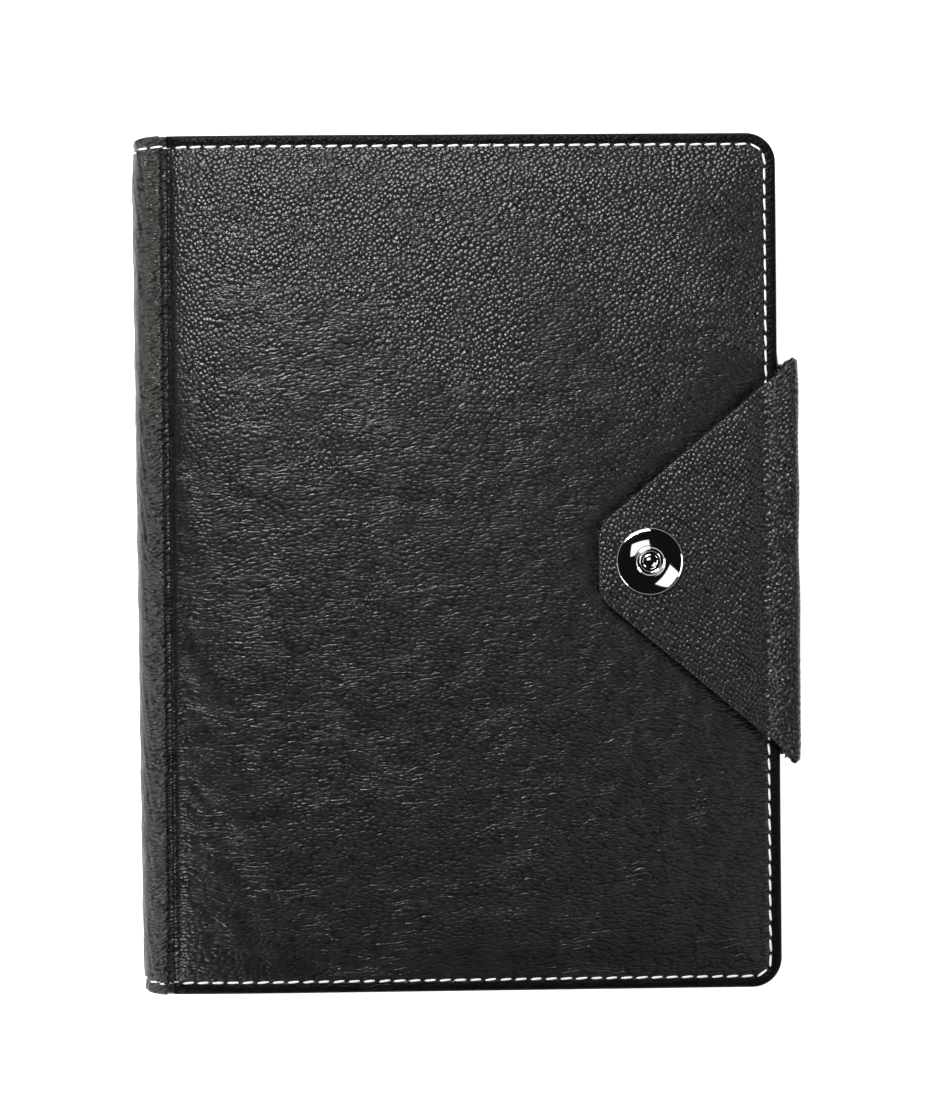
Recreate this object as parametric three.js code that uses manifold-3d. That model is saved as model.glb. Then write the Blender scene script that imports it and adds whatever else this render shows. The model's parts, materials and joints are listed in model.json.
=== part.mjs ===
// A5 leather notebook cover: a soft case with a bound notebook in two sleeves, a pen loop, and a
// wrap-over flap that closes on the front with a magnetic snap.
// Millimetres, +Z up. The closed book lies on its back cover: +X is the fore edge, -X the spine,
// +Y the head. Every piece is first drawn with x = 0 on the gutter crease and z = 0 on the table.

import * as THREE from 'three';
import { mergeVertices } from 'three/addons/utils/BufferGeometryUtils.js';
import Module from 'manifold-3d';

const wasm = await Module();
wasm.setup();

// --- Driving dimensions -------------------------------------------------------------------------

// The case
const COVER_LENGTH = 232;
const PANEL_WIDTH = 163.3; // gutter crease to fore edge
const THICKNESS = 26; // closed, without the flap
const FORE_CORNER_RADIUS = 8;
const GUTTER_WIDTH = 6; // gutter crease to the spine's fold lines
const FOLD_HEIGHT = 2.2; // fold lines, in from each outer face
const SPINE_DEPTH = 4.5; // fold lines to the outermost point of the spine
const SPINE_BULGE = 1.4;
const EDGE_BEVEL = 0.8;
const TURNED_EDGE = 3.4; // width of the leather turned in round each board
const BOARD_TO_CREASE = 1;
const LINING_INSET = 1;

// Layers of one cover panel, from the outside in
const LEATHER = 1.4;
const PADDING = 1.2;
const BOARD = 1.6;
const LINING = 0.6;
const INSERT_COVER = 0.5;
const POCKET = 0.8;
const CARD_SLOT = 0.4;

// Layers of the spine, from the outside in
const SPINE_LEATHER = 1.1;
const SPINE_BOARD = 0.8;
const SPINE_LINING = 0.5;

// The notebook
const PAGE_WIDTH = 148;
const PAGE_LENGTH = 210;
const PAGE_CORNER_RADIUS = 3;
const COVER_OVERHANG = 0.5; // the card covers past the pages
const BINDING_STANDOFF = 0.5; // the binding from the fold lines

// Sleeves and card slots
const POCKET_WIDTH = 96;
const POCKET_INSET = 5.3;
const POCKET_SEAM = 2.5;
const SLOT_COUNT = 3;
const SLOT_WIDTH = 89;
const SLOT_BOTTOM = -20;
const SLOT_MOUTH_STEP = 14;
const LONGEST_SLOT = 75;
const SLOT_INSET = 4;

// The pen loop
const LOOP_BORE_RADIUS = 4.3;
const LOOP_WALL = 0.9;
const LOOP_LENGTH = 22;
const LOOP_MIDDLE_Y = 57;
const LOOP_OVERHANG = 1.5; // past the fore edge
const LOOP_HEADROOM = 3.9; // from the front lining down to the loop
const LOOP_TAB = 4.2; // flat tab past the loop, towards the spine

// The flap, its strip down the fore edge, and its tail under the back board
const STRIP_STANDOFF = 7.2; // outer face of the strip, past the fore edge
const STRIP_LEATHER = 1;
const STRIP_LINING = 0.6;
const FLAP_LEATHER = 1;
const FLAP_STIFFENER = 0.6;
const FLAP_LINING = 0.5;
const FLAP_HALF_BASE = 54.5;
const FLAP_REACH = 48.3; // fore edge to the tip
const FLAP_TIP_RADIUS = 8;
const FLAP_BASE_RADIUS = 2;
const FLAP_SLOPE = THREE.MathUtils.degToRad(40);
const STIFFENER_INSET = 3;
const STIFFENER_FROM_EDGE = 2.8; // fore edge to the stiffener
const TAIL_LENGTH = 18; // under the board
const TAIL_THICKNESS = 1.2;

// The magnetic snap
const SNAP_FROM_EDGE = 34.5; // fore edge to the snap's axis
const CAP_RADIUS = 9;
const CAP_RISE = 1.9;
const CAP_RIM = 0.5;
const CAP_WELL_RADIUS = 2.5;
const CAP_RING_RADIUS = 3.8;
const RIVET_HEAD_RADIUS = 2.05;
const RIVET_POST_RADIUS = 1.3;
const STUD_PLATE_RADIUS = 5.75;
const STUD_PLATE = 0.8;
const STUD_RADIUS = 2;
const STUD_LENGTH = 1.8;
const SOCKET_RADIUS = 7.2;
const SOCKET_WALL = 0.5;
const SOCKET_HOLE_RADIUS = 2.6;
const SOCKET_HEIGHT = 2.8;
const WASHER = 0.6;

// Clearances
const GAP = 0.3; // between neighbouring pieces
const PAGE_GAP = 0.3; // between the two leaves of the open page
const BORE_GAP = 0.5; // round posts and sockets

const ARC_STEPS = 8;
const ROUND_STEPS = 32;

// --- Places worked out from the driving dimensions ----------------------------------------------

const FOLD_X = -GUTTER_WIDTH;
const SPINE_X = FOLD_X - SPINE_DEPTH;
const STRIP_X = PANEL_WIDTH + STRIP_STANDOFF;
const HALF_LENGTH = COVER_LENGTH / 2;
const MID_Z = THICKNESS / 2;
const SNAP_X = PANEL_WIDTH - SNAP_FROM_EDGE;

// Depths of one panel's layers, from its outer face
const paddingDepth = LEATHER + GAP;
const boardDepth = paddingDepth + PADDING + GAP;
const boardInnerDepth = boardDepth + BOARD;
const liningDepth = boardInnerDepth + GAP;
const pocketDepth = liningDepth + LINING + GAP;
const pocketPanelDepth = pocketDepth + INSERT_COVER + GAP;
const pocketInnerDepth = pocketPanelDepth + POCKET;
const slotPitch = CARD_SLOT + GAP;
const slotStackDepth = pocketInnerDepth + SLOT_COUNT * slotPitch;

const boardEdgeX = PANEL_WIDTH - TURNED_EDGE - GAP;
const boardHalfLength = HALF_LENGTH - TURNED_EDGE - GAP;
const innerCornerRadius = FORE_CORNER_RADIUS - TURNED_EDGE;
const bindingX = FOLD_X + BINDING_STANDOFF;
const pocketEdgeX = PANEL_WIDTH - POCKET_INSET;
const pocketHalfLength = HALF_LENGTH - POCKET_INSET;

const loopHalfWidth = LOOP_BORE_RADIUS + LOOP_WALL;
const loopHalfHeight = (THICKNESS - liningDepth - LINING - LOOP_HEADROOM - pocketDepth) / 2;
const loopX = PANEL_WIDTH + LOOP_OVERHANG - loopHalfWidth;
const loopTabX = loopX - loopHalfWidth - LOOP_TAB;
const loopY0 = LOOP_MIDDLE_Y - LOOP_LENGTH / 2;
const loopY1 = LOOP_MIDDLE_Y + LOOP_LENGTH / 2;

// The strip's fold lines run along Y at this x, the upper one level with the front cover's face
const stripFoldX = STRIP_X - STRIP_LEATHER - GAP - STRIP_LINING - GAP;
const tailMiddleZ = paddingDepth + TAIL_THICKNESS / 2;
const flapStiffenerZ = THICKNESS + GAP + FLAP_LINING + GAP;
const flapLeatherZ = flapStiffenerZ + FLAP_STIFFENER + GAP;
const flapTopZ = flapLeatherZ + FLAP_LEATHER;

// --- Geometry helpers ---------------------------------------------------------------------------

// A closed outline through corners [x, y, radius] listed anticlockwise, with tangent arcs.
function outline(corners) {
  const shape = new THREE.Shape();
  corners.forEach(([x, y, radius = 0], i) => {
    const [px, py] = corners.at(i - 1);
    const [nx, ny] = corners[(i + 1) % corners.length];
    const corner = new THREE.Vector2(x, y);
    const back = new THREE.Vector2(px, py).sub(corner).normalize();
    const on = new THREE.Vector2(nx, ny).sub(corner).normalize();
    const half = Math.acos(back.dot(on)) / 2;
    const start = corner.clone().addScaledVector(back, radius / Math.tan(half));
    if (i === 0) shape.moveTo(start.x, start.y);
    else shape.lineTo(start.x, start.y);
    if (radius > 0) {
      const middle = back.clone().add(on).normalize().multiplyScalar(radius / Math.sin(half)).add(corner);
      const end = corner.clone().addScaledVector(on, radius / Math.tan(half));
      const angleOf = (point) => Math.atan2(point.y - middle.y, point.x - middle.x);
      shape.absarc(middle.x, middle.y, radius, angleOf(start), angleOf(end), false);
    }
  });
  shape.closePath();
  return shape;
}

// A panel outline from x0 to x1, symmetric about the X axis, with rounded fore corners.
const panelOutline = (x0, x1, halfLength, radius) => outline([
  [x0, -halfLength],
  [x1, -halfLength, radius],
  [x1, halfLength, radius],
  [x0, halfLength],
]);

// An outline in the XY plane raised from z0 to z1.
function slab(shape, z0, z1, bevel = 0) {
  const geometry = new THREE.ExtrudeGeometry(shape, {
    depth: z1 - z0 - 2 * bevel,
    bevelEnabled: bevel > 0,
    bevelThickness: bevel,
    bevelSize: bevel,
    bevelOffset: -bevel,
    bevelSegments: 3,
    curveSegments: ARC_STEPS,
  });
  return geometry.translate(0, 0, z0 + bevel);
}

// An outline in the XZ plane carried along Y between two values.
function bar(shape, y0, y1) {
  const geometry = new THREE.ExtrudeGeometry(shape, {
    depth: y1 - y0,
    bevelEnabled: false,
    curveSegments: 2 * ARC_STEPS,
  });
  return geometry.rotateX(Math.PI / 2).translate(0, y1, 0);
}

const box = (x0, x1, y0, y1, z0, z1) => new THREE.BoxGeometry(x1 - x0, y1 - y0, z1 - z0)
  .translate((x0 + x1) / 2, (y0 + y1) / 2, (z0 + z1) / 2);

const disc = (radius, x, z0, z1) => new THREE.CylinderGeometry(radius, radius, z1 - z0, ROUND_STEPS)
  .rotateX(Math.PI / 2)
  .translate(x, 0, (z0 + z1) / 2);

// A profile of [radius, z] points turned about a vertical axis at x.
const turned = (profile, x) => new THREE.LatheGeometry(
  profile.map(([radius, z]) => new THREE.Vector2(radius, z)),
  ROUND_STEPS,
).rotateX(Math.PI / 2).translate(x, 0, 0);

function toSolid(geometry) {
  const bare = geometry.clone();
  bare.deleteAttribute('normal');
  bare.deleteAttribute('uv');
  const merged = mergeVertices(bare, 1e-4);
  return new wasm.Manifold(new wasm.Mesh({
    numProp: 3,
    vertProperties: new Float32Array(merged.attributes.position.array),
    triVerts: new Uint32Array(merged.index.array),
  }));
}

function toGeometry(solid) {
  const mesh = solid.getMesh();
  const geometry = new THREE.BufferGeometry();
  geometry.setAttribute('position', new THREE.BufferAttribute(mesh.vertProperties, 3));
  geometry.setIndex(new THREE.BufferAttribute(mesh.triVerts, 1));
  geometry.computeVertexNormals();
  return geometry;
}

const cut = (body, ...tools) => toGeometry(
  tools.reduce((solid, tool) => solid.subtract(toSolid(tool)), toSolid(body)),
);

const join = (first, second) => toGeometry(toSolid(first).add(toSolid(second)));

// --- Materials ----------------------------------------------------------------------------------

const FINISHES = {
  blackLeather: { color: 0x3c3c40, roughness: 0.55, metalness: 0 },
  tanLeather: { color: 0x9a6a42, roughness: 0.7, metalness: 0 },
  blackLining: { color: 0x1c1c1e, roughness: 0.8, metalness: 0 },
  foam: { color: 0xcfcabb, roughness: 0.95, metalness: 0 },
  greyboard: { color: 0x8b8378, roughness: 0.9, metalness: 0 },
  kraftCard: { color: 0xb08a5c, roughness: 0.85, metalness: 0 },
  paper: { color: 0xf1ead8, roughness: 0.9, metalness: 0 },
  chrome: { color: 0xdadcdf, roughness: 0.08, metalness: 1 },
  nickel: { color: 0xb9bbbd, roughness: 0.3, metalness: 1 },
  magnet: { color: 0x77797c, roughness: 0.45, metalness: 1 },
};

function piece(name, geometry, finish) {
  const mesh = new THREE.Mesh(geometry, new THREE.MeshStandardMaterial(FINISHES[finish]));
  mesh.name = name;
  return mesh;
}

// --- Cover panels -------------------------------------------------------------------------------

// The layers of one panel, drawn with its outer face on z = 0 and its inside upwards.
function panelPieces(side, { leatherCuts = [], paddingCuts = [], boardCuts = [], pocketCuts = [] }) {
  const coreOutline = panelOutline(BOARD_TO_CREASE, boardEdgeX, boardHalfLength, innerCornerRadius);
  const trayHollow = slab(
    panelOutline(FOLD_X - GAP, PANEL_WIDTH - TURNED_EDGE, HALF_LENGTH - TURNED_EDGE, innerCornerRadius),
    LEATHER,
    boardInnerDepth + GAP,
  );
  const skin = slab(
    panelOutline(FOLD_X + GAP, PANEL_WIDTH, HALF_LENGTH, FORE_CORNER_RADIUS),
    0,
    boardInnerDepth,
    EDGE_BEVEL,
  );
  const leather = cut(skin, trayHollow, ...leatherCuts);
  const padding = cut(slab(coreOutline, paddingDepth, paddingDepth + PADDING), ...paddingCuts);
  const board = cut(slab(coreOutline, boardDepth, boardInnerDepth), ...boardCuts);
  const lining = slab(
    panelOutline(
      FOLD_X + 2 * GAP,
      PANEL_WIDTH - LINING_INSET,
      HALF_LENGTH - LINING_INSET,
      FORE_CORNER_RADIUS - LINING_INSET,
    ),
    liningDepth,
    liningDepth + LINING,
  );
  const sleeve = slab(
    panelOutline(pocketEdgeX - POCKET_WIDTH, pocketEdgeX, pocketHalfLength, POCKET_SEAM),
    pocketDepth,
    pocketInnerDepth,
  );
  const sleeveHollow = box(
    pocketEdgeX - POCKET_WIDTH - GAP,
    pocketEdgeX - POCKET_SEAM,
    POCKET_SEAM - pocketHalfLength,
    pocketHalfLength - POCKET_SEAM,
    pocketDepth - GAP,
    pocketPanelDepth,
  );
  const cardCover = slab(
    panelOutline(
      bindingX,
      bindingX + PAGE_WIDTH + COVER_OVERHANG,
      PAGE_LENGTH / 2 + COVER_OVERHANG,
      PAGE_CORNER_RADIUS,
    ),
    pocketDepth,
    pocketDepth + INSERT_COVER,
  );
  return [
    piece(`${side}_cover_leather`, leather, 'blackLeather'),
    piece(`${side}_padding`, padding, 'foam'),
    piece(`${side}_board`, board, 'greyboard'),
    piece(`${side}_lining`, lining, 'tanLeather'),
    piece(`${side}_pocket`, cut(sleeve, sleeveHollow, ...pocketCuts), 'tanLeather'),
    piece(`insert_${side}_cover`, cardCover, 'kraftCard'),
  ];
}

// --- Back cover with the pen loop and the flap's tail -------------------------------------------

// An oval band across the space between the covers, with a tab that lies on the back lining.
function penLoop() {
  const oval = (halfWidth, halfHeight) => new THREE.Shape()
    .absellipse(loopX, pocketDepth + loopHalfHeight, halfWidth, halfHeight, 0, 2 * Math.PI);
  const ring = oval(loopHalfWidth, loopHalfHeight);
  const bore = oval(LOOP_BORE_RADIUS, loopHalfHeight - LOOP_WALL);
  const tab = box(loopTabX, loopX, loopY0, loopY1, pocketDepth, pocketDepth + LOOP_WALL);
  return cut(join(bar(ring, loopY0, loopY1), tab), bar(bore, loopY0 - GAP, loopY1 + GAP));
}

function backCover() {
  const tailX = PANEL_WIDTH - TAIL_LENGTH;
  const tailTop = paddingDepth + TAIL_THICKNESS;
  const tailSlot = box(
    tailX - GAP,
    PANEL_WIDTH + GAP,
    -FLAP_HALF_BASE - GAP,
    FLAP_HALF_BASE + GAP,
    LEATHER,
    tailTop + GAP,
  );
  const tail = box(tailX, stripFoldX - GAP, -FLAP_HALF_BASE, FLAP_HALF_BASE, paddingDepth, tailTop);
  const loopNotch = box(
    loopTabX - GAP,
    PANEL_WIDTH,
    loopY0 - GAP,
    loopY1 + GAP,
    pocketDepth - GAP,
    pocketInnerDepth + GAP,
  );
  const group = new THREE.Group();
  group.add(
    ...panelPieces('back', {
      leatherCuts: [tailSlot],
      paddingCuts: [tailSlot],
      pocketCuts: [loopNotch],
    }),
    piece('pen_loop', penLoop(), 'tanLeather'),
    piece('flap_tail', tail, 'blackLeather'),
  );
  return group;
}

// --- Front cover with the card slots and the snap's socket --------------------------------------

function frontCover() {
  const socketBore = disc(SOCKET_RADIUS + BORE_GAP, SNAP_X, -GAP, boardInnerDepth + GAP);
  const group = new THREE.Group();
  group.add(...panelPieces('front', {
    leatherCuts: [socketBore],
    paddingCuts: [socketBore],
    boardCuts: [socketBore],
  }));

  // The panel is turned over, so the mouths towards the head point along its own -Y
  const slotX = pocketEdgeX - SLOT_INSET;
  for (let i = 0; i < SLOT_COUNT; i += 1) {
    const depth = pocketInnerDepth + GAP + i * slotPitch;
    const mouthY = -(SLOT_BOTTOM + LONGEST_SLOT - i * SLOT_MOUTH_STEP);
    const slot = box(slotX - SLOT_WIDTH, slotX, mouthY, -SLOT_BOTTOM, depth, depth + CARD_SLOT);
    group.add(piece(`card_slot_${i + 1}`, slot, 'tanLeather'));
  }

  const washerDepth = boardInnerDepth - WASHER;
  const socketInner = washerDepth - GAP;
  const socketFace = socketInner - SOCKET_HEIGHT;
  const magnetFace = socketFace + SOCKET_WALL + GAP;
  const socket = turned([
    [SOCKET_HOLE_RADIUS, socketFace],
    [SOCKET_RADIUS, socketFace],
    [SOCKET_RADIUS, socketInner],
    [SOCKET_RADIUS - SOCKET_WALL, socketInner],
    [SOCKET_RADIUS - SOCKET_WALL, socketFace + SOCKET_WALL],
    [SOCKET_HOLE_RADIUS, socketFace + SOCKET_WALL],
    [SOCKET_HOLE_RADIUS, socketFace],
  ], SNAP_X);
  const magnetRadius = SOCKET_RADIUS - SOCKET_WALL - GAP;
  const magnet = turned([
    [SOCKET_HOLE_RADIUS, magnetFace],
    [magnetRadius, magnetFace],
    [magnetRadius, socketInner],
    [SOCKET_HOLE_RADIUS, socketInner],
    [SOCKET_HOLE_RADIUS, magnetFace],
  ], SNAP_X);
  group.add(
    piece('snap_socket', socket, 'nickel'),
    piece('snap_magnet', magnet, 'magnet'),
    piece('snap_washer', disc(SOCKET_RADIUS, SNAP_X, washerDepth, boardInnerDepth), 'nickel'),
  );
  group.rotation.x = Math.PI;
  group.position.z = THICKNESS;
  return group;
}

// --- Spine --------------------------------------------------------------------------------------

// A band between two concentric arcs about the spine's centre of curvature, carried along Y.
function spineBand(depth, thickness, halfHeight) {
  const chord = MID_Z - FOLD_HEIGHT - GAP;
  const radius = (chord ** 2 + SPINE_BULGE ** 2) / (2 * SPINE_BULGE);
  const middleX = SPINE_X + radius;
  const outer = radius - depth;
  const inner = outer - thickness;
  const outerAngle = Math.asin(halfHeight / outer);
  const innerAngle = Math.asin(halfHeight / inner);
  const band = new THREE.Shape();
  band.absarc(middleX, MID_Z, outer, Math.PI - outerAngle, Math.PI + outerAngle, false);
  band.absarc(middleX, MID_Z, inner, Math.PI + innerAngle, Math.PI - innerAngle, true);
  band.closePath();
  const halfLength = HALF_LENGTH - depth;
  return bar(band, -halfLength, halfLength);
}

function spine() {
  const leatherHalf = MID_Z - FOLD_HEIGHT - GAP;
  const innerHalf = leatherHalf - LEATHER;
  const boardAt = SPINE_LEATHER + GAP;
  const liningAt = boardAt + SPINE_BOARD + GAP;
  const bindingHalf = MID_Z - pocketDepth;
  const bindingStrip = box(
    bindingX - GAP - INSERT_COVER,
    bindingX - GAP,
    -PAGE_LENGTH / 2 - COVER_OVERHANG,
    PAGE_LENGTH / 2 + COVER_OVERHANG,
    MID_Z - bindingHalf,
    MID_Z + bindingHalf,
  );
  const group = new THREE.Group();
  group.add(
    piece('spine_leather', spineBand(0, SPINE_LEATHER, leatherHalf), 'blackLeather'),
    piece('spine_board', spineBand(boardAt, SPINE_BOARD, innerHalf), 'greyboard'),
    piece('spine_lining', spineBand(liningAt, SPINE_LINING, innerHalf), 'tanLeather'),
    piece('insert_spine', bindingStrip, 'kraftCard'),
  );
  return group;
}

// --- Pages --------------------------------------------------------------------------------------

const pageBlock = (z0, z1) => slab(
  panelOutline(bindingX, bindingX + PAGE_WIDTH, PAGE_LENGTH / 2, PAGE_CORNER_RADIUS),
  z0,
  z1,
);

function pages() {
  const lower = pageBlock(pocketInnerDepth + GAP, MID_Z - PAGE_GAP / 2);
  const upper = pageBlock(MID_Z + PAGE_GAP / 2, THICKNESS - slotStackDepth - GAP);
  const group = new THREE.Group();
  group.add(
    piece('lower_pages', lower, 'paper'),
    piece('upper_pages', upper, 'paper'),
  );
  return group;
}

// --- Flap, strip and snap -----------------------------------------------------------------------

// The flap's plan: a blunt triangle whose base stands on the strip's fold line.
function flapOutline(inset, baseX, baseRadius) {
  const tipX = PANEL_WIDTH - FLAP_REACH + inset;
  const edgeShift = inset / Math.cos(FLAP_SLOPE);
  const halfAt = (x) => FLAP_HALF_BASE - edgeShift - (STRIP_X - x) * Math.tan(FLAP_SLOPE);
  return outline([
    [baseX, -halfAt(baseX), baseRadius],
    [baseX, halfAt(baseX), baseRadius],
    [tipX, halfAt(tipX), FLAP_TIP_RADIUS - inset],
    [tipX, -halfAt(tipX), FLAP_TIP_RADIUS - inset],
  ]);
}

function flapStrip() {
  const z0 = tailMiddleZ + GAP;
  const z1 = THICKNESS - GAP;
  const liningX = stripFoldX + GAP;
  const leatherX = STRIP_X - STRIP_LEATHER;
  const group = new THREE.Group();
  group.add(
    piece('strip_leather', box(leatherX, STRIP_X, -FLAP_HALF_BASE, FLAP_HALF_BASE, z0, z1), 'blackLeather'),
    piece(
      'strip_lining',
      box(liningX, liningX + STRIP_LINING, GAP - FLAP_HALF_BASE, FLAP_HALF_BASE - GAP, z0, z1),
      'blackLining',
    ),
  );
  return group;
}

function flap() {
  const baseX = stripFoldX - GAP;
  const postBore = disc(RIVET_POST_RADIUS + GAP, SNAP_X, THICKNESS, flapTopZ + GAP);
  const leather = slab(flapOutline(0, baseX, FLAP_BASE_RADIUS), flapLeatherZ, flapTopZ);
  const stiffener = slab(
    flapOutline(STIFFENER_INSET, PANEL_WIDTH - STIFFENER_FROM_EDGE, 0),
    flapStiffenerZ,
    flapStiffenerZ + FLAP_STIFFENER,
  );
  const lining = slab(
    flapOutline(GAP, baseX, FLAP_BASE_RADIUS),
    THICKNESS + GAP,
    THICKNESS + GAP + FLAP_LINING,
  );

  // Cap: a low dome with a raised ring round a well, and the rivet's head in the well
  const capZ = flapTopZ + GAP;
  const domeSteps = 10;
  const domeHeight = (radius) => CAP_RIM + (CAP_RISE - CAP_RIM) * Math.sqrt(1 - (radius / CAP_RADIUS) ** 2);
  const dome = Array.from({ length: domeSteps + 1 }, (_, i) => {
    const radius = CAP_RADIUS - (CAP_RADIUS - CAP_RING_RADIUS) * (i / domeSteps);
    return [radius, capZ + domeHeight(radius)];
  });
  const ringTop = capZ + domeHeight(CAP_RING_RADIUS) + CAP_RIM / 2;
  const cap = turned([
    [CAP_WELL_RADIUS, capZ],
    [CAP_RADIUS, capZ],
    ...dome,
    [(CAP_RING_RADIUS + CAP_WELL_RADIUS) / 2, ringTop],
    [CAP_WELL_RADIUS, ringTop - CAP_RIM],
    [CAP_WELL_RADIUS, capZ],
  ], SNAP_X);
  const rivetFoot = THICKNESS + GAP;
  const headZ = capZ + CAP_RIM;
  const rivet = turned([
    [0, rivetFoot],
    [RIVET_POST_RADIUS, rivetFoot],
    [RIVET_POST_RADIUS, headZ],
    [RIVET_HEAD_RADIUS, headZ],
    [RIVET_HEAD_RADIUS, ringTop - CAP_RIM],
    [RIVET_HEAD_RADIUS / 2, ringTop - CAP_RIM / 4],
    [0, ringTop],
  ], SNAP_X);
  const plateTop = THICKNESS;
  const plateBottom = plateTop - STUD_PLATE;
  const stud = turned([
    [0, plateBottom - STUD_LENGTH],
    [STUD_RADIUS, plateBottom - STUD_LENGTH],
    [STUD_RADIUS, plateBottom],
    [STUD_PLATE_RADIUS, plateBottom],
    [STUD_PLATE_RADIUS, plateTop],
    [0, plateTop],
  ], SNAP_X);

  const group = new THREE.Group();
  group.add(
    piece('flap_leather', cut(leather, postBore), 'blackLeather'),
    piece('flap_stiffener', cut(stiffener, postBore), 'greyboard'),
    piece('flap_lining', cut(lining, postBore), 'blackLining'),
    piece('snap_cap', cap, 'chrome'),
    piece('snap_rivet', rivet, 'chrome'),
    piece('snap_stud', stud, 'nickel'),
  );
  return group;
}

// --- The whole object, with its origin under the middle -----------------------------------------

const notebookCover = new THREE.Group();
notebookCover.add(backCover(), spine(), frontCover(), pages(), flapStrip(), flap());
notebookCover.position.x = -(SPINE_X + STRIP_X) / 2;

export default notebookCover;
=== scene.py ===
"""Looks of a closed A5 notebook cover in padded black leather, with a flap and a magnetic snap.

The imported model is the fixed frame. Sizes below are millimetres in that frame: the closed book lies on
its back cover, +X is the fore edge, -X the spine, +Y the head. Each class makes one sub-assembly.
"""

import json
import logging
import math
from dataclasses import dataclass, field
from enum import Enum

import bpy
import numpy as np
from mathutils import Euler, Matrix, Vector


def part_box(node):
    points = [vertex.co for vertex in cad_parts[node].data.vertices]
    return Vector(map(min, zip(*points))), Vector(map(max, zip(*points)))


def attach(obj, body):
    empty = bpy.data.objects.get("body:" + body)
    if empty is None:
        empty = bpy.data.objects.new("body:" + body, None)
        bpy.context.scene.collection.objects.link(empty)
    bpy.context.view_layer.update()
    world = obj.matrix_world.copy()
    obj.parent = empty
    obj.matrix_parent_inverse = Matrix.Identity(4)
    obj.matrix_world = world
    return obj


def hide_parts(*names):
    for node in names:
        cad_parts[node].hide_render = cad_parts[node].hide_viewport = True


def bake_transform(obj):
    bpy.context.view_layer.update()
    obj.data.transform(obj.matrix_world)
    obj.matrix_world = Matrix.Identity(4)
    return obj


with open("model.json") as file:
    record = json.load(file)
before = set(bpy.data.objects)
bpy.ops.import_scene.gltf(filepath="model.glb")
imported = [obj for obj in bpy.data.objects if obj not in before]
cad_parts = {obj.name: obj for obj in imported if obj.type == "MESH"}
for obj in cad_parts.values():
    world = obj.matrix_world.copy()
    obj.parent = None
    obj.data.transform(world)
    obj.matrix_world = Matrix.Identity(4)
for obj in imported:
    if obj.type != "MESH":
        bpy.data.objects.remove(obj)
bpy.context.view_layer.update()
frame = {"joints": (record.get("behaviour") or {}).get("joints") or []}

MM = 0.001
ROUND_RIM = 0.42  # how far a sheet's rim stands out, as a share of its thickness: nearly a half circle
LOG = logging.getLogger("notebook_cover")


# --- Numbers and meshes -------------------------------------------------------------------------


def smoothstep(low: float, high: float, x: np.ndarray) -> np.ndarray:
    """Ease from 0 at low to 1 at high.

    Args:
        low: where the ramp starts.
        high: where the ramp ends.
        x: the values to map.

    Returns:
        3t^2 - 2t^3 of the clipped share t of the way from low to high.
    """
    t = np.clip((x - low) / (high - low), 0.0, 1.0)
    return t * t * (3.0 - 2.0 * t)


def waves(x: np.ndarray, y: np.ndarray, length: float, count: int, seed: int) -> np.ndarray:
    """Soft random relief, the mean of plane waves in random directions.

    Args:
        x: first coordinate, mm.
        y: second coordinate, mm.
        length: mean wavelength, mm.
        count: number of waves.
        seed: seed of the directions, phases and lengths.

    Returns:
        Heights of about unit size: the sum of sines of k.(x, y) + phase over the root of count / 2.
    """
    rng = np.random.default_rng(seed)
    angle = rng.uniform(0.0, math.pi, count)
    k = 2.0 * math.pi / (length * rng.uniform(0.7, 1.5, count))
    phase = rng.uniform(0.0, 2.0 * math.pi, count)
    total = np.zeros(np.broadcast(x, y).shape)
    for a, wave_number, p in zip(angle, k, phase):
        total = total + np.sin(wave_number * (x * math.cos(a) + y * math.sin(a)) + p)
    return total / math.sqrt(count / 2.0)


def soft_path(points: list[tuple[float, float]], step: float, passes: int) -> np.ndarray:
    """A smooth plane curve through chosen points.

    Args:
        points: corner points of the curve.
        step: spacing of the result, mm.
        passes: number of smoothing passes, each the mean of a point and its neighbours.

    Returns:
        An (n, 2) array at even spacing, with its ends on the first and last points.
    """
    corners = np.array(points, float)
    length = np.concatenate([[0.0], np.cumsum(np.hypot(*np.diff(corners, axis=0).T))])
    at = np.linspace(0.0, length[-1], int(length[-1] / step) + 2)
    curve = np.stack([np.interp(at, length, corners[:, k]) for k in (0, 1)], axis=1)
    for _ in range(passes):
        curve[1:-1] = (curve[:-2] + curve[1:-1] + curve[2:]) / 3.0
    return curve


def graded(low: float, high: float, edge: float, fine: float, coarse: float) -> np.ndarray:
    """Stations from low to high, fine near both ends and coarse between.

    Args:
        low: first station.
        high: last station.
        edge: length of each fine stretch.
        fine: spacing in the fine stretches.
        coarse: spacing between them.

    Returns:
        A rising array of stations.
    """
    head = np.linspace(low, low + edge, max(2, int(edge / fine)))
    tail = np.linspace(high - edge, high, max(2, int(edge / fine)))
    middle = np.linspace(low + edge, high - edge, max(3, int((high - low - 2 * edge) / coarse)))
    return np.concatenate([head, middle[1:-1], tail])


def grid_quads(rows: int, columns: int, first: int = 0, wrap: bool = False) -> np.ndarray:
    """Quads of a rows by columns grid of vertices stored row by row.

    Args:
        rows: number of rows.
        columns: vertices in a row.
        first: index of the grid's first vertex.
        wrap: joins the last column to the first.

    Returns:
        An (n, 4) array of vertex indices.
    """
    index = first + np.arange(rows * columns).reshape(rows, columns)
    if wrap:
        index = np.concatenate([index, index[:, :1]], axis=1)
    quads = np.stack([index[:-1, :-1], index[1:, :-1], index[1:, 1:], index[:-1, 1:]], axis=-1)
    return quads.reshape(-1, 4)


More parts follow.
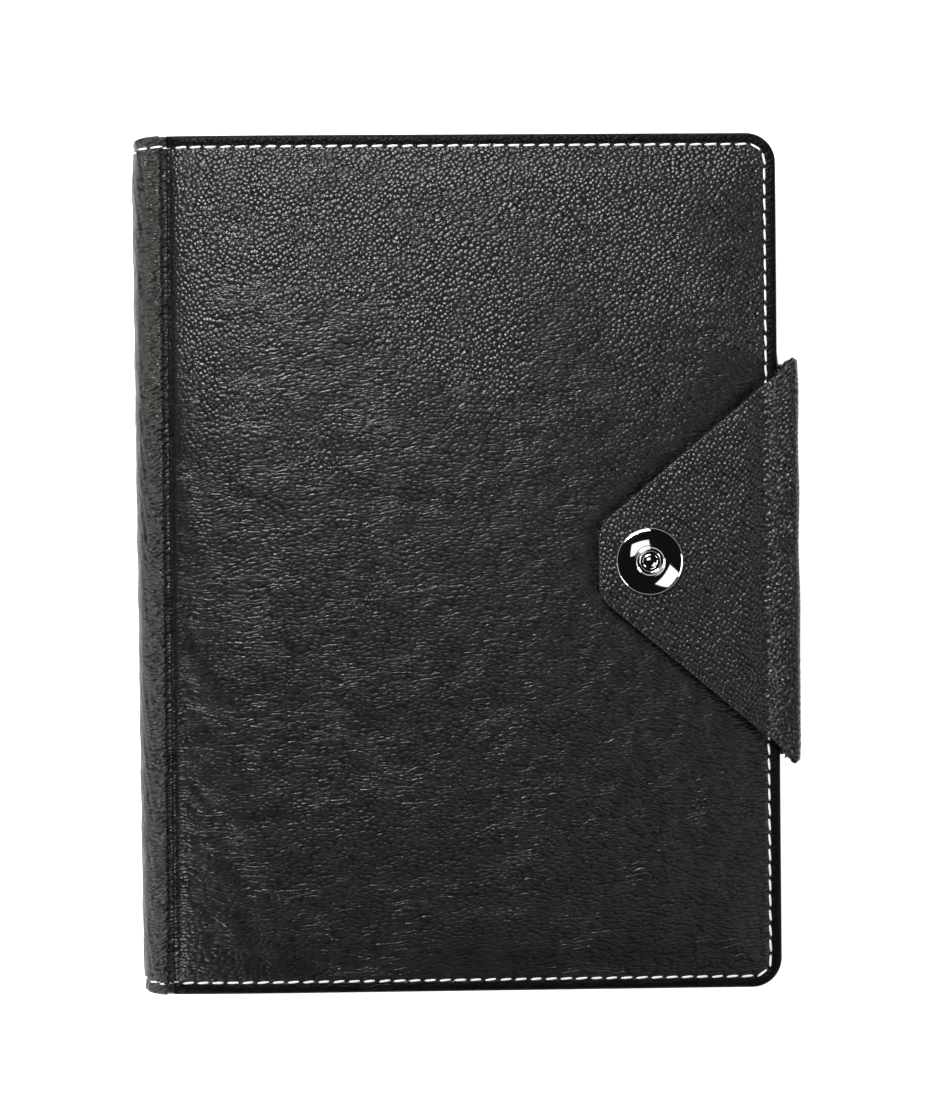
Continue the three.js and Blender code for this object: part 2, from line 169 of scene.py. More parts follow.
def rim_loop(rows: int, columns: int) -> np.ndarray:
    """Indices of a grid's rim in order: first row, last column, last row back, first column back.

    Args:
        rows: number of rows.
        columns: vertices in a row.

    Returns:
        The closed loop of vertex indices, each once.
    """
    index = np.arange(rows * columns).reshape(rows, columns)
    return np.concatenate([index[0, :-1], index[:-1, -1], index[-1, :0:-1], index[:0:-1, 0]])


def surface_normals(points: np.ndarray) -> np.ndarray:
    """Unit normals of a grid of points, the cross product of its two difference directions.

    Args:
        points: an (n, m, 3) grid.

    Returns:
        An (n, m, 3) array of unit vectors.
    """
    normal = np.cross(np.gradient(points, axis=0), np.gradient(points, axis=1))
    return normal / np.maximum(np.linalg.norm(normal, axis=-1, keepdims=True), 1e-9)


@dataclass
class MeshData:
    """Points in mm, faces as index tuples of one size a block, and a material index for each block."""

    points: list[np.ndarray] = field(default_factory=list)
    flats: list[np.ndarray] = field(default_factory=list)
    blocks: list[tuple[np.ndarray, int]] = field(default_factory=list)
    size: int = 0

    def add(
        self,
        points: np.ndarray,
        *blocks: tuple[np.ndarray, int],
        flat: np.ndarray | None = None,
    ) -> int:
        """Append points and the faces that index them from 0.

        Args:
            points: any array whose last axis holds x, y, z.
            blocks: pairs of a face array and its material index.
            flat: each point's place on the flat hide, mm, or its x and y if left out.

        Returns:
            The index of the first point added.
        """
        first = self.size
        solid = np.asarray(points, float).reshape(-1, 3)
        self.points.append(solid)
        self.flats.append(solid[:, :2] if flat is None else np.asarray(flat, float).reshape(-1, 2))
        self.size += len(solid)
        for faces, material in blocks:
            self.blocks.append((np.asarray(faces, int) + first, material))
        return first

    def build(self, name: str, materials: list[bpy.types.Material]) -> bpy.types.Object:
        """Make the object, smooth shaded, with its place in its mesh and its faces pointing out.

        Args:
            name: the piece's name.
            materials: one for each material index.

        Returns:
            The linked object.
        """
        points = np.concatenate(self.points) * MM
        loops = np.concatenate([faces.reshape(-1) for faces, _ in self.blocks])
        sides = np.concatenate([np.full(len(faces), faces.shape[1]) for faces, _ in self.blocks])
        slots = np.concatenate([np.full(len(faces), material) for faces, material in self.blocks])
        mesh = bpy.data.meshes.new(name)
        mesh.vertices.add(len(points))
        mesh.vertices.foreach_set("co", points.reshape(-1))
        mesh.loops.add(len(loops))
        mesh.loops.foreach_set("vertex_index", loops.astype(np.int32))
        mesh.polygons.add(len(sides))
        mesh.polygons.foreach_set("loop_start", (np.cumsum(sides) - sides).astype(np.int32))
        mesh.polygons.foreach_set("material_index", slots.astype(np.int32))
        mesh.polygons.foreach_set("use_smooth", np.full(len(sides), True))
        layer = mesh.uv_layers.new(name="hide")
        flat = np.concatenate(self.flats)[loops] * MM
        layer.data.foreach_set("uv", flat.reshape(-1).astype(np.float32))
        for material in materials:
            mesh.materials.append(material)
        mesh.update(calc_edges=True)
        mesh.validate()
        piece = bpy.data.objects.new(name, mesh)
        bpy.context.scene.collection.objects.link(piece)
        return piece


def thick_sheet(
    face: np.ndarray,
    thickness: float,
    materials: tuple[int, int, int] = (0, 0, 0),
    flat: np.ndarray | None = None,
    normals: np.ndarray | None = None,
    bulge: float | np.ndarray = ROUND_RIM,
) -> MeshData:
    """A closed sheet with a round edge: the face, its copy a thickness behind it, and a half-round rim.

    Args:
        face: an (n, m, 3) grid whose normals point out of the sheet's good side.
        thickness: mm.
        materials: indices for the face, the back and the rim.
        flat: each point's place on the flat hide.
        normals: the face's unit normals, or worked out from the face if left out.
        bulge: how far the rim stands out, as a share of the thickness, for all or for each grid point.

    Returns:
        The mesh data.
    """
    rows, columns = face.shape[:2]
    if flat is None:
        flat = face[..., :2]
    inward = -(surface_normals(face) if normals is None else normals)
    back = face + thickness * inward
    data = MeshData()
    quads = grid_quads(rows, columns)
    data.add(face, (quads, materials[0]), flat=flat)
    data.add(back, (quads[:, ::-1], materials[1]), flat=flat)
    loop = rim_loop(rows, columns)
    flat_face, flat_in = face.reshape(-1, 3), inward.reshape(-1, 3)
    along = np.roll(flat_face[loop], -1, axis=0) - np.roll(flat_face[loop], 1, axis=0)
    out = np.cross(along, -flat_in[loop])
    out /= np.maximum(np.linalg.norm(out, axis=1, keepdims=True), 1e-9)
    middle = flat_face.mean(axis=0)
    if np.sum((flat_face[loop] - middle) * out) < 0:
        out = -out
    steps = 4
    angle = np.linspace(0.0, math.pi, steps + 2)[1:-1]
    depth = thickness * (1.0 - np.cos(angle)) / 2.0
    stand = thickness * np.broadcast_to(bulge, (rows, columns)).reshape(-1)[loop] * np.sin(angle)[:, None]
    ring = (
        flat_face[loop][None]
        + depth[:, None, None] * flat_in[loop][None]
        + stand[..., None] * out[None]
    )
    first = data.add(ring, flat=np.broadcast_to(flat.reshape(-1, 2)[loop], (steps, len(loop), 2)))
    count = len(loop)
    levels = np.concatenate([
        loop[None],
        first + np.arange(steps * count).reshape(steps, count),
        (rows * columns + loop)[None],
    ])
    closed = np.concatenate([levels, levels[:, :1]], axis=1)
    rim = np.stack([closed[:-1, :-1], closed[:-1, 1:], closed[1:, 1:], closed[1:, :-1]], axis=-1)
    data.blocks.append((rim.reshape(-1, 4), materials[2]))
    return data


def lathe(profile: np.ndarray, axis: tuple[float, float], segments: int) -> MeshData:
    """A closed turned piece about a vertical axis.

    Args:
        profile: an (n, 2) array of radius and height whose first and last radius are 0.
        axis: x and y of the axis, mm.
        segments: divisions round the axis.

    Returns:
        The mesh data: point (r cos a, r sin a, h) for each profile point and angle a, with end fans.
    """
    angle = np.linspace(0.0, 2.0 * math.pi, segments, endpoint=False)
    ring = profile[1:-1]
    body = np.stack([
        axis[0] + ring[:, :1] * np.cos(angle),
        axis[1] + ring[:, :1] * np.sin(angle),
        ring[:, 1:] + 0.0 * angle,
    ], axis=-1)
    data = MeshData()
    data.add(body, (grid_quads(len(ring), segments, wrap=True)[:, ::-1], 0))
    ends = data.add([[*axis, profile[0, 1]], [*axis, profile[-1, 1]]])
    around = np.arange(segments)
    after = np.roll(around, -1)
    top = (len(ring) - 1) * segments
    fans = (
        [np.full(segments, ends), after, around],
        [np.full(segments, ends + 1), top + around, top + after],
    )
    data.blocks += [(np.stack(fan, axis=1), 0) for fan in fans]
    return data


def stitches(
    point: np.ndarray,
    along: np.ndarray,
    normal: np.ndarray,
    slant: np.ndarray,
    length: np.ndarray,
    radius: float,
    hole: float = 0.0,
) -> MeshData:
    """Plump slanted bars of thread, each a capsule of radius r (1 - t^4)^(1/2) along its length.

    Each bar is a little flatter than round, and its ends dip into the leather by sink r t^2.

    Args:
        point: (n, 3) middles of the stitches, on the leather.
        along: (n, 3) unit directions of the seam.
        normal: (n, 3) unit normals of the leather.
        slant: (n,) angles from the seam, radians.
        length: (n,) half-lengths.
        radius: of the thread.
        hole: radius of the needle hole after each stitch, or 0 for none.

    Returns:
        The mesh data, with thread as material 0 and holes as material 1.
    """
    across = np.cross(normal, along)
    forward = np.cos(slant)[:, None] * along + np.sin(slant)[:, None] * across
    sideways = np.cross(normal, forward)
    rings, around = 9, 8
    squash, seat, sink = 0.9, 0.4, 0.55  # shares of the radius: half height, height of the middle, dip
    past, hole_deep = 0.38, 0.25  # the hole's place past the stitch's end and its depth, mm
    t = np.linspace(-1.0, 1.0, rings)
    angle = np.linspace(0.0, 2.0 * math.pi, around, endpoint=False)
    share = np.sqrt(np.clip(1.0 - t**4, 0.02, 1.0))
    dip = sink * radius * t**2
    lift = squash * radius * share[:, None] * np.sin(angle) + seat * radius - dip[:, None]
    bar = (
        point[:, None, None]
        + (length[:, None] * t)[:, :, None, None] * forward[:, None, None]
        + (radius * share[:, None] * np.cos(angle))[None, :, :, None] * sideways[:, None, None]
        + lift[None, :, :, None] * normal[:, None, None]
    )
    data = MeshData()
    quads = grid_quads(rings, around, wrap=True)
    fan = [np.zeros(around - 2, int), np.arange(1, around - 1), np.arange(2, around)]
    cap = np.stack(fan, axis=1)
    offsets = (np.arange(len(point)) * rings * around)[:, None, None]
    every = (quads[None, :, ::-1] + offsets).reshape(-1, 4)
    start = (cap[None, :, ::-1] + offsets).reshape(-1, 3)
    finish = (cap[None] + (rings - 1) * around + offsets).reshape(-1, 3)
    data.add(bar, (every, 0), (start, 0), (finish, 0))
    if hole:
        # painted shade: each needle hole is a near-black disc standing in for the shade inside the hole
        middle = point + (length + past)[:, None] * forward + 0.03 * normal
        disc = (
            middle[:, None]
            + (hole * 0.8 * np.cos(angle))[None, :, None] * sideways[:, None]
            + (hole * 1.2 * np.sin(angle))[None, :, None] * forward[:, None]
        )
        ring = np.arange(around)
        wall = np.stack([ring, np.roll(ring, -1), around + np.roll(ring, -1), around + ring], axis=1)
        offsets = (np.arange(len(point)) * 2 * around)[:, None, None]
        data.add(
            np.concatenate([disc, disc - hole_deep * normal[:, None]], axis=1),
            ((ring[::-1][None, None] + offsets).reshape(-1, around), 1),
            ((wall[None] + offsets).reshape(-1, 4), 1),
            (((around + ring)[None, None] + offsets).reshape(-1, around), 1),
        )
    return data


# --- Finishes -----------------------------------------------------------------------------------


def linear(colour: str) -> tuple[float, float, float, float]:
    """Turn an sRGB hex colour to linear RGBA.

    Args:
        colour: six hex digits.

    Returns:
        Linear red, green and blue, and alpha 1.
    """
    values = [int(colour[i:i + 2], 16) / 255.0 for i in (0, 2, 4)]
    rgb = [v / 12.92 if v <= 0.04045 else ((v + 0.055) / 1.055) ** 2.4 for v in values]
    return (*rgb, 1.0)


Pair = tuple[float, float]
Source = bpy.types.NodeSocket | float | tuple[float, ...]


class Graph:
    """A material's node tree, with one function that adds a node."""

    def __init__(self, name: str, on_hide: bool = False) -> None:
        """Start a material whose surface is one Principled shader.

        Args:
            name: the material's name.
            on_hide: patterns lie on the flat hide and bend with it, rather than in space.
        """
        self.material = bpy.data.materials.new(name)
        self.material.use_nodes = True
        self.tree = self.material.node_tree
        self.shader = self.tree.nodes["Principled BSDF"]
        source = self.node("ShaderNodeTexCoord").outputs["Object"]
        if on_hide:
            source = self.node("ShaderNodeUVMap", {"uv_map": "hide"}).outputs[0]
        scale = {"operation": "SCALE", "Scale": 1.0 / MM}
        self.place = self.node("ShaderNodeVectorMath", scale, {0: source}).outputs[0]

    def node(self, kind: str, settings: dict | None = None, links: dict | None = None) -> bpy.types.Node:
        """Add a node with its settings and links.

        Args:
            kind: the node's type.
            settings: attribute names, or input names, and their values.
            links: input names or numbers, and the sockets that feed them.

        Returns:
            The node.
        """
        made = self.tree.nodes.new(kind)
        for key, value in (settings or {}).items():
            if isinstance(key, str) and hasattr(made, key):
                setattr(made, key, value)
            else:
                made.inputs[key].default_value = value
        for key, socket in (links or {}).items():
            self.tree.links.new(socket, made.inputs[key])
        return made

    def math(self, operation: str, a: Source, b: Source = 0.5, clamp: bool = False) -> bpy.types.NodeSocket:
        """Work out one step of arithmetic.

        Args:
            operation: the Math node's operation.
            a: first input, a socket or a number.
            b: second input.
            clamp: keep the result in 0..1.

        Returns:
            The result's socket.
        """
        made = self.node("ShaderNodeMath", {"operation": operation, "use_clamp": clamp})
        for i, value in enumerate((a, b)):
            if isinstance(value, bpy.types.NodeSocket):
                self.tree.links.new(value, made.inputs[i])
            else:
                made.inputs[i].default_value = value
        return made.outputs[0]

    def noise(self, size: float, detail: float, place: Source | None = None) -> bpy.types.Node:
        """Add a Noise node whose largest blobs are size mm across."""
        settings = {"Scale": 1.0 / size, "Detail": detail}
        return self.node("ShaderNodeTexNoise", settings, {"Vector": place or self.place})

    def ramp(self, fac: Source, low: float, high: float, out: Pair = (0.0, 1.0)) -> bpy.types.NodeSocket:
        """Ease a value from one range to another.

        Args:
            fac: the value.
            low: where the ramp starts.
            high: where it ends.
            out: the results at low and at high.

        Returns:
            The result's socket.
        """
        made = self.node(
            "ShaderNodeMapRange",
            {"interpolation_type": "SMOOTHSTEP", 1: low, 2: high, 3: out[0], 4: out[1]},
            {0: fac},
        )
        return made.outputs[0]

    def mix(self, fac: Source, a: Source, b: Source) -> bpy.types.NodeSocket:
        """Mix two colours.

        Args:
            fac: the second colour's share.
            a: the first colour, a socket or RGBA.
            b: the second colour.

        Returns:
            The colour's socket.
        """
        made = self.node("ShaderNodeMix", {"data_type": "RGBA"})
        for slot, value in ((0, fac), (6, a), (7, b)):
            if isinstance(value, bpy.types.NodeSocket):
                self.tree.links.new(value, made.inputs[slot])
            else:
                made.inputs[slot].default_value = value
        return made.outputs[2]

    def bump(self, height: Source, depth: float, under: Source | None = None) -> bpy.types.NodeSocket:
        """Turn a height into a bent normal.

        Args:
            height: the height's socket.
            depth: mm that a height of 1 stands for.
            under: a coarser or finer bump that this one lies on.

        Returns:
            The normal's socket.
        """
        links = {"Height": height}
        if under is not None:
            links["Normal"] = under
        made = self.node("ShaderNodeBump", {"Distance": depth * MM, "Strength": 1.0}, links)
        return made.outputs[0]

    def finish(self, settings: dict, links: dict) -> bpy.types.Material:
        """Set the shader.

        Args:
            settings: input names and their values.
            links: input names and the sockets that feed them.

        Returns:
            The material.
        """
        for key, value in settings.items():
            self.shader.inputs[key].default_value = value
        for key, socket in links.items():
            self.tree.links.new(socket, self.shader.inputs[key])
        return self.material


@dataclass(frozen=True)
class GrainedLeather:
    """Drum-dyed cowhide with a pressed pebble grain: domed cells in fine valleys, semi-gloss.

    The domes catch the light as small specks; where the hide was pulled the cells are drawn out.
    """

    name: str
    top: str = "18181D"
    # painted shade: the valleys between pebbles are coloured darker than the tops, the shade that falls in
    # the grain's hollows
    valley: str = "070709"
    cell: float = 1.15  # mm between pebbles
    depth: float = 0.22  # mm from a pebble's top to the valleys
    roughness: float = 0.36
    coat: float = 0.15  # weight of the acrylic top coat, whose highlight makes the specks
    coat_roughness: float = 0.22
    stretch: float = 0.55  # how far cells are drawn out across the panel where the hide was pulled
    pulled: tuple[float, float] = (95.0, -20.0)  # mm up the panel where that starts and is full
    flatten: float = 0.5  # how much shallower the drawn-out grain is
    flatten_low: float = 0.42  # the same towards the tail
    deeper: tuple[float, float] = (10.0, -90.0)  # mm up the panel where that change starts and is full
    crease: float = 0.1  # mm depth of the long drawn creases
    smooth_below: float = -500.0  # mm on the hide, past which the grain was rubbed down
    specular: float = 0.5
    warp: float = 1.0  # how far the pebbles stray from even rows

    def build(self) -> bpy.types.Material:
        """Make the material.

        The height is the power of a Voronoi distance on warped ground, mixed from round cells to
        drawn-out ones along the panel, with creases where a stretched noise crosses its middle.

        Returns:
            The material.
        """
        g = Graph(self.name, on_hide=True)
        axes = g.node("ShaderNodeSeparateXYZ", None, {0: g.place}).outputs
        drift = g.math("MULTIPLY", g.math("SUBTRACT", g.noise(38.0, 2.0).outputs["Fac"], 0.5), 240.0)
        pulled_part = g.ramp(g.math("ADD", axes[1], drift), *self.pulled)
        domes = []
        round_cells = (3.5, self.warp, 1.0, 0.6, 1.0)
        drawn_cells = (6.0, 3.0 * self.warp, 1.0 - self.stretch, 0.1, 1.4)
        for size, warp, squeeze, turn, finer in (round_cells, drawn_cells):
            wobble = g.node("ShaderNodeVectorMath", {"operation": "SUBTRACT", 1: (0.5, 0.5, 0.5)}, {
                0: g.noise(size, 1.0).outputs["Color"],
            }).outputs[0]
            place = g.node("ShaderNodeVectorMath", {"operation": "MULTIPLY_ADD", 1: (warp, warp, 0.0)}, {
                0: wobble,
                2: g.place,
            }).outputs[0]
            turned = {
                "vector_type": "TEXTURE",
                "Scale": (1.0 / squeeze, 1.0, 1.0),
                "Rotation": (0.0, 0.0, turn),
            }
            cells = g.node("ShaderNodeMapping", turned, {"Vector": place}).outputs[0]
            settings = {"voronoi_dimensions": "2D", "Scale": finer / self.cell, "Randomness": 0.8}
            distance = g.node("ShaderNodeTexVoronoi", settings, {"Vector": cells}).outputs["Distance"]
            domes.append(g.math("POWER", g.math("DIVIDE", distance, 0.72, True), 1.8))
        cells = g.node("ShaderNodeMix", None, {0: pulled_part, 2: domes[0], 3: domes[1]}).outputs[0]
        drawn = g.node("ShaderNodeMapping", {"Scale": (0.06, 0.55, 1.0), "Rotation": (0.0, 0.0, 0.06)}, {
            "Vector": place,
        }).outputs[0]
        folds = g.noise(1.0, 1.0, drawn).outputs["Fac"]
        folds = g.ramp(g.math("ABSOLUTE", g.math("SUBTRACT", folds, 0.5)), 0.05, 0.0)
        folds = g.math("MULTIPLY", folds, g.ramp(g.noise(17.0, 1.0).outputs["Fac"], 0.45, 0.6))
        flatness = g.ramp(axes[1], *self.deeper, (self.flatten, self.flatten_low))
        shallow = g.math("MULTIPLY", pulled_part, flatness)
        rubbed = g.math(
            "MULTIPLY",
            g.ramp(axes[0], self.smooth_below - 1.0, self.smooth_below + 1.5, (0.25, 1.0)),
            g.math("SUBTRACT", 1.0, shallow),
        )
        height = g.math("ADD", cells, g.math("MULTIPLY", folds, self.crease / self.depth))
        relief = g.bump(g.noise(0.45, 2.0).outputs["Fac"], 0.025)
        relief = g.bump(g.math("MULTIPLY", height, rubbed), -self.depth, relief)
        # painted shade: the colour darkens from the pebbles' tops into the valleys between them
        colour = g.mix(g.ramp(cells, 0.7, 0.1), linear(self.valley), linear(self.top))
        spread = (self.roughness - 0.04, self.roughness + 0.05)
        gloss = g.ramp(g.noise(7.0, 3.0).outputs["Fac"], 0.3, 0.7, spread)
        finish = {
            "Coat Weight": self.coat,
            "Coat Roughness": self.coat_roughness,
            "Specular IOR Level": self.specular,
        }
        links = {"Base Color": colour, "Roughness": gloss, "Normal": relief, "Coat Normal": relief}
        return g.finish(finish, links)


@dataclass(frozen=True)
class PlainLeather:
    """Smooth split leather: fine pores, faint mottling, matt."""

    name: str
    light: str
    dark: str
    roughness: float = 0.6
    pore: float = 0.5

    def build(self) -> bpy.types.Material:
        """Make the material.

        Returns:
            The material.
        """
        g = Graph(self.name)
        mottle = g.ramp(g.noise(11.0, 4.0).outputs["Fac"], 0.35, 0.65)
        pores = g.noise(self.pore, 3.0).outputs["Fac"]
        colour = g.mix(mottle, linear(self.dark), linear(self.light))
        gloss = g.ramp(pores, 0.3, 0.7, (self.roughness - 0.07, self.roughness + 0.07))
        relief = g.bump(g.noise(4.0, 3.0).outputs["Fac"], 0.12, g.bump(pores, 0.035))
        return g.finish({}, {"Base Color": colour, "Roughness": gloss, "Normal": relief})


@dataclass(frozen=True)
class Metal:
    """Plated metal, chrome or nickel: mirror bright, with faint polishing marks in its roughness."""

    name: str
    colour: str
    roughness: float
    marks: float = 0.02

    def build(self) -> bpy.types.Material:
        """Make the material.

        Returns:
            The material.
        """
        g = Graph(self.name)
        brushed = g.node("ShaderNodeMapping", {"Scale": (0.3, 4.0, 1.0)}, {"Vector": g.place}).outputs[0]
        streaks = g.noise(0.8, 3.0, brushed).outputs["Fac"]
        gloss = g.ramp(streaks, 0.3, 0.7, (self.roughness, self.roughness + self.marks))
        return g.finish({"Base Color": linear(self.colour), "Metallic": 1.0}, {"Roughness": gloss})


@dataclass(frozen=True)
class Thread:
    """Bonded polyester sewing thread: twisted, with a slight sheen and, in white, a painted glow: an emission
    that makes it brighter than the lamps light it.
    """

    name: str
    dark: str = "D9D8D4"
    light: str = "FBFBFA"
    # painted light: strength of the emission that makes the thread glow brighter than the lamps light it
    painted_glow: float = 0.3

    def build(self) -> bpy.types.Material:
        """Make the material.

        Returns:
            The material.
        """
        g = Graph(self.name)
        strands = {"Scale": 1.6, "Distortion": 0.5, "bands_direction": "DIAGONAL"}
        twist = g.node("ShaderNodeTexWave", strands, {"Vector": g.place}).outputs["Fac"]
        colour = g.mix(twist, linear(self.dark), linear(self.light))
        settings = {
            "Roughness": 0.55,
            "Sheen Weight": 0.2,
            # painted light: the thread's own emission, a glow brighter than the lamps give it
            "Emission Color": linear("F4F6FF"),
            "Emission Strength": self.painted_glow,
        }
        return g.finish(settings, {"Base Color": colour, "Normal": g.bump(twist, 0.05)})


@dataclass(frozen=True)
class Paper:
    """Cream uncoated paper: leaves show as fine lines on the block's sides, feint rules on its faces."""

    name: str = "cream_ruled_paper"
    leaf: float = 0.32  # mm between leaf lines, three times the true pitch so that they show
    rule: float = 7.0  # mm between the printed rules

    def build(self) -> bpy.types.Material:
        """Make the material.

        Returns:
            The material.
        """
        g = Graph(self.name)
        axes = g.node("ShaderNodeSeparateXYZ", None, {0: g.place}).outputs
        facing = g.node("ShaderNodeNewGeometry").outputs["True Normal"]
        upward = g.node("ShaderNodeSeparateXYZ", None, {0: facing}).outputs[2]
        flat = g.math("GREATER_THAN", g.math("ABSOLUTE", upward), 0.7)
        ragged = g.math("MULTIPLY", g.noise(6.0, 2.0).outputs["Fac"], 0.7)
        level = g.math("ADD", axes[2], ragged)
        leaves = g.math("PINGPONG", g.math("DIVIDE", level, self.leaf), 0.5)
        edge = g.mix(g.ramp(leaves, 0.05, 0.3), linear("B9AE96"), linear("F3ECDB"))
        nearest = g.math("PINGPONG", g.math("DIVIDE", axes[1], self.rule), 0.5)
        ruled = g.math("LESS_THAN", nearest, 0.016)
        fibre = g.ramp(g.noise(0.7, 4.0).outputs["Fac"], 0.3, 0.7)
        sheet = g.mix(fibre, linear("EFE7D3"), linear("F6F0E2"))
        sheet = g.mix(ruled, sheet, linear("A9B4BF"))
        side_relief = g.math("MULTIPLY", leaves, g.math("SUBTRACT", 1.0, flat))
        relief = g.bump(g.math("ADD", side_relief, g.math("MULTIPLY", fibre, 0.1)), 0.12)
        return g.finish({"Roughness": 0.85}, {"Base Color": g.mix(flat, edge, sheet), "Normal": relief})


@dataclass(frozen=True)
class Board:
    """Pressed board, foam or card: matt, with flecks of fibre."""

    name: str
    light: str
    dark: str
    fleck: float = 0.8

    def build(self) -> bpy.types.Material:
        """Make the material.

        Returns:
            The material.
        """
        g = Graph(self.name)
        fibre = g.node("ShaderNodeMapping", {"Scale": (0.35, 1.0, 1.0)}, {"Vector": g.place}).outputs[0]
        flecks = g.noise(self.fleck, 5.0, fibre).outputs["Fac"]
        colour = g.mix(g.ramp(flecks, 0.38, 0.62), linear(self.dark), linear(self.light))
        return g.finish({"Roughness": 0.88}, {"Base Color": colour, "Normal": g.bump(flecks, 0.05)})


class Finishes:
    """Every material of the object, made once."""

    def __init__(self) -> None:
        """Build the materials."""
        self.leather = GrainedLeather("black_pebble_leather").build()
        # painted shade: a darker, less glossy copy of the cover leather, which keeps the sewn rim and the
        # edge wall dark where they face the lights
        self.shaded_rim_leather = GrainedLeather(
            "black_rim_leather_painted_shade",
            top="0A0A0B",
            valley="050506",
            depth=0.14,
            roughness=0.42,
            coat=0.0,
            specular=0.12,
        ).build()
        self.flap_leather = GrainedLeather(
            "black_flap_leather",
            pulled=(-400.0, -500.0),
            crease=0.0,
            warp=0.6,
        ).build()
        self.spine_leather = GrainedLeather(
            "black_spine_leather_painted_light",
            # painted light: a lighter, warmer colour than the cover leather's, standing in for the light that
            # the spine's ridge and wall catch
            top="302E29",
            valley="0B0A09",
            cell=1.2,
            depth=0.36,
            roughness=0.42,
            stretch=0.6,
            pulled=(300.0, 200.0),
            flatten=0.0,
            deeper=(-900.0, -901.0),
            crease=0.0,
            smooth_below=-9.5,
        ).build()
        self.lining = PlainLeather("black_lining_leather", "1B1B1C", "0E0E0F").build()
        self.edge = PlainLeather("black_edge_paint", "0E0E0F", "080808", roughness=0.5, pore=0.9).build()
        self.tan = PlainLeather("tan_lining_leather", "A66E45", "99633C").build()
        # painted shade: near-black colour of the needle holes, the shade inside them
        self.hole = PlainLeather("needle_hole", "050505", "020202", roughness=0.9).build()
        self.thread = Thread("white_polyester_thread").build()
        self.tan_thread = Thread("tan_polyester_thread", "B98355", "CE9A6C", 0.0).build()
        self.chrome = Metal("polished_chrome", "F0F1F3", 0.035, 0.015).build()
        self.nickel = Metal("satin_nickel", "B8B6B1", 0.28, 0.1).build()
        self.magnet = Metal("plated_magnet", "77777A", 0.42, 0.1).build()
        self.paper = Paper().build()
        self.kraft = Board("kraft_card", "BC9364", "A67D50").build()
        self.board = Board("grey_board", "9B958B", "7B756C").build()
        self.foam = Board("white_foam", "D8D4C8", "C4BFB1", 0.5).build()

    def dress_nodes(self) -> None:
        """Give each CAD node that stays its material."""
        kept = {
            self.paper: ("lower_pages", "upper_pages"),
            self.kraft: ("insert_back_cover", "insert_front_cover", "insert_spine"),
            self.board: ("back_board", "front_board"),
            self.nickel: ("snap_socket", "snap_washer", "snap_stud"),
            self.magnet: ("snap_magnet",),
        }
        for material, names in kept.items():
            for name in names:
                node = bpy.data.objects[name]
                for slot in node.material_slots:
                    slot.material = material


# --- The case -----------------------------------------------------------------------------------


class Side(Enum):
    """The two halves of the case: which way out is, and the bodies they move with."""

    FRONT = "front"
    BACK = "back"


def joint_place(name: str) -> Vector:
    """The place of a joint's axis in the frame.

    Args:
        name: the joint.

    Returns:
        Its x, y and z in mm.
    """
    found = next(joint for joint in frame["joints"] if joint["name"] == name)
    return Vector(found["pos_m"]) / MM


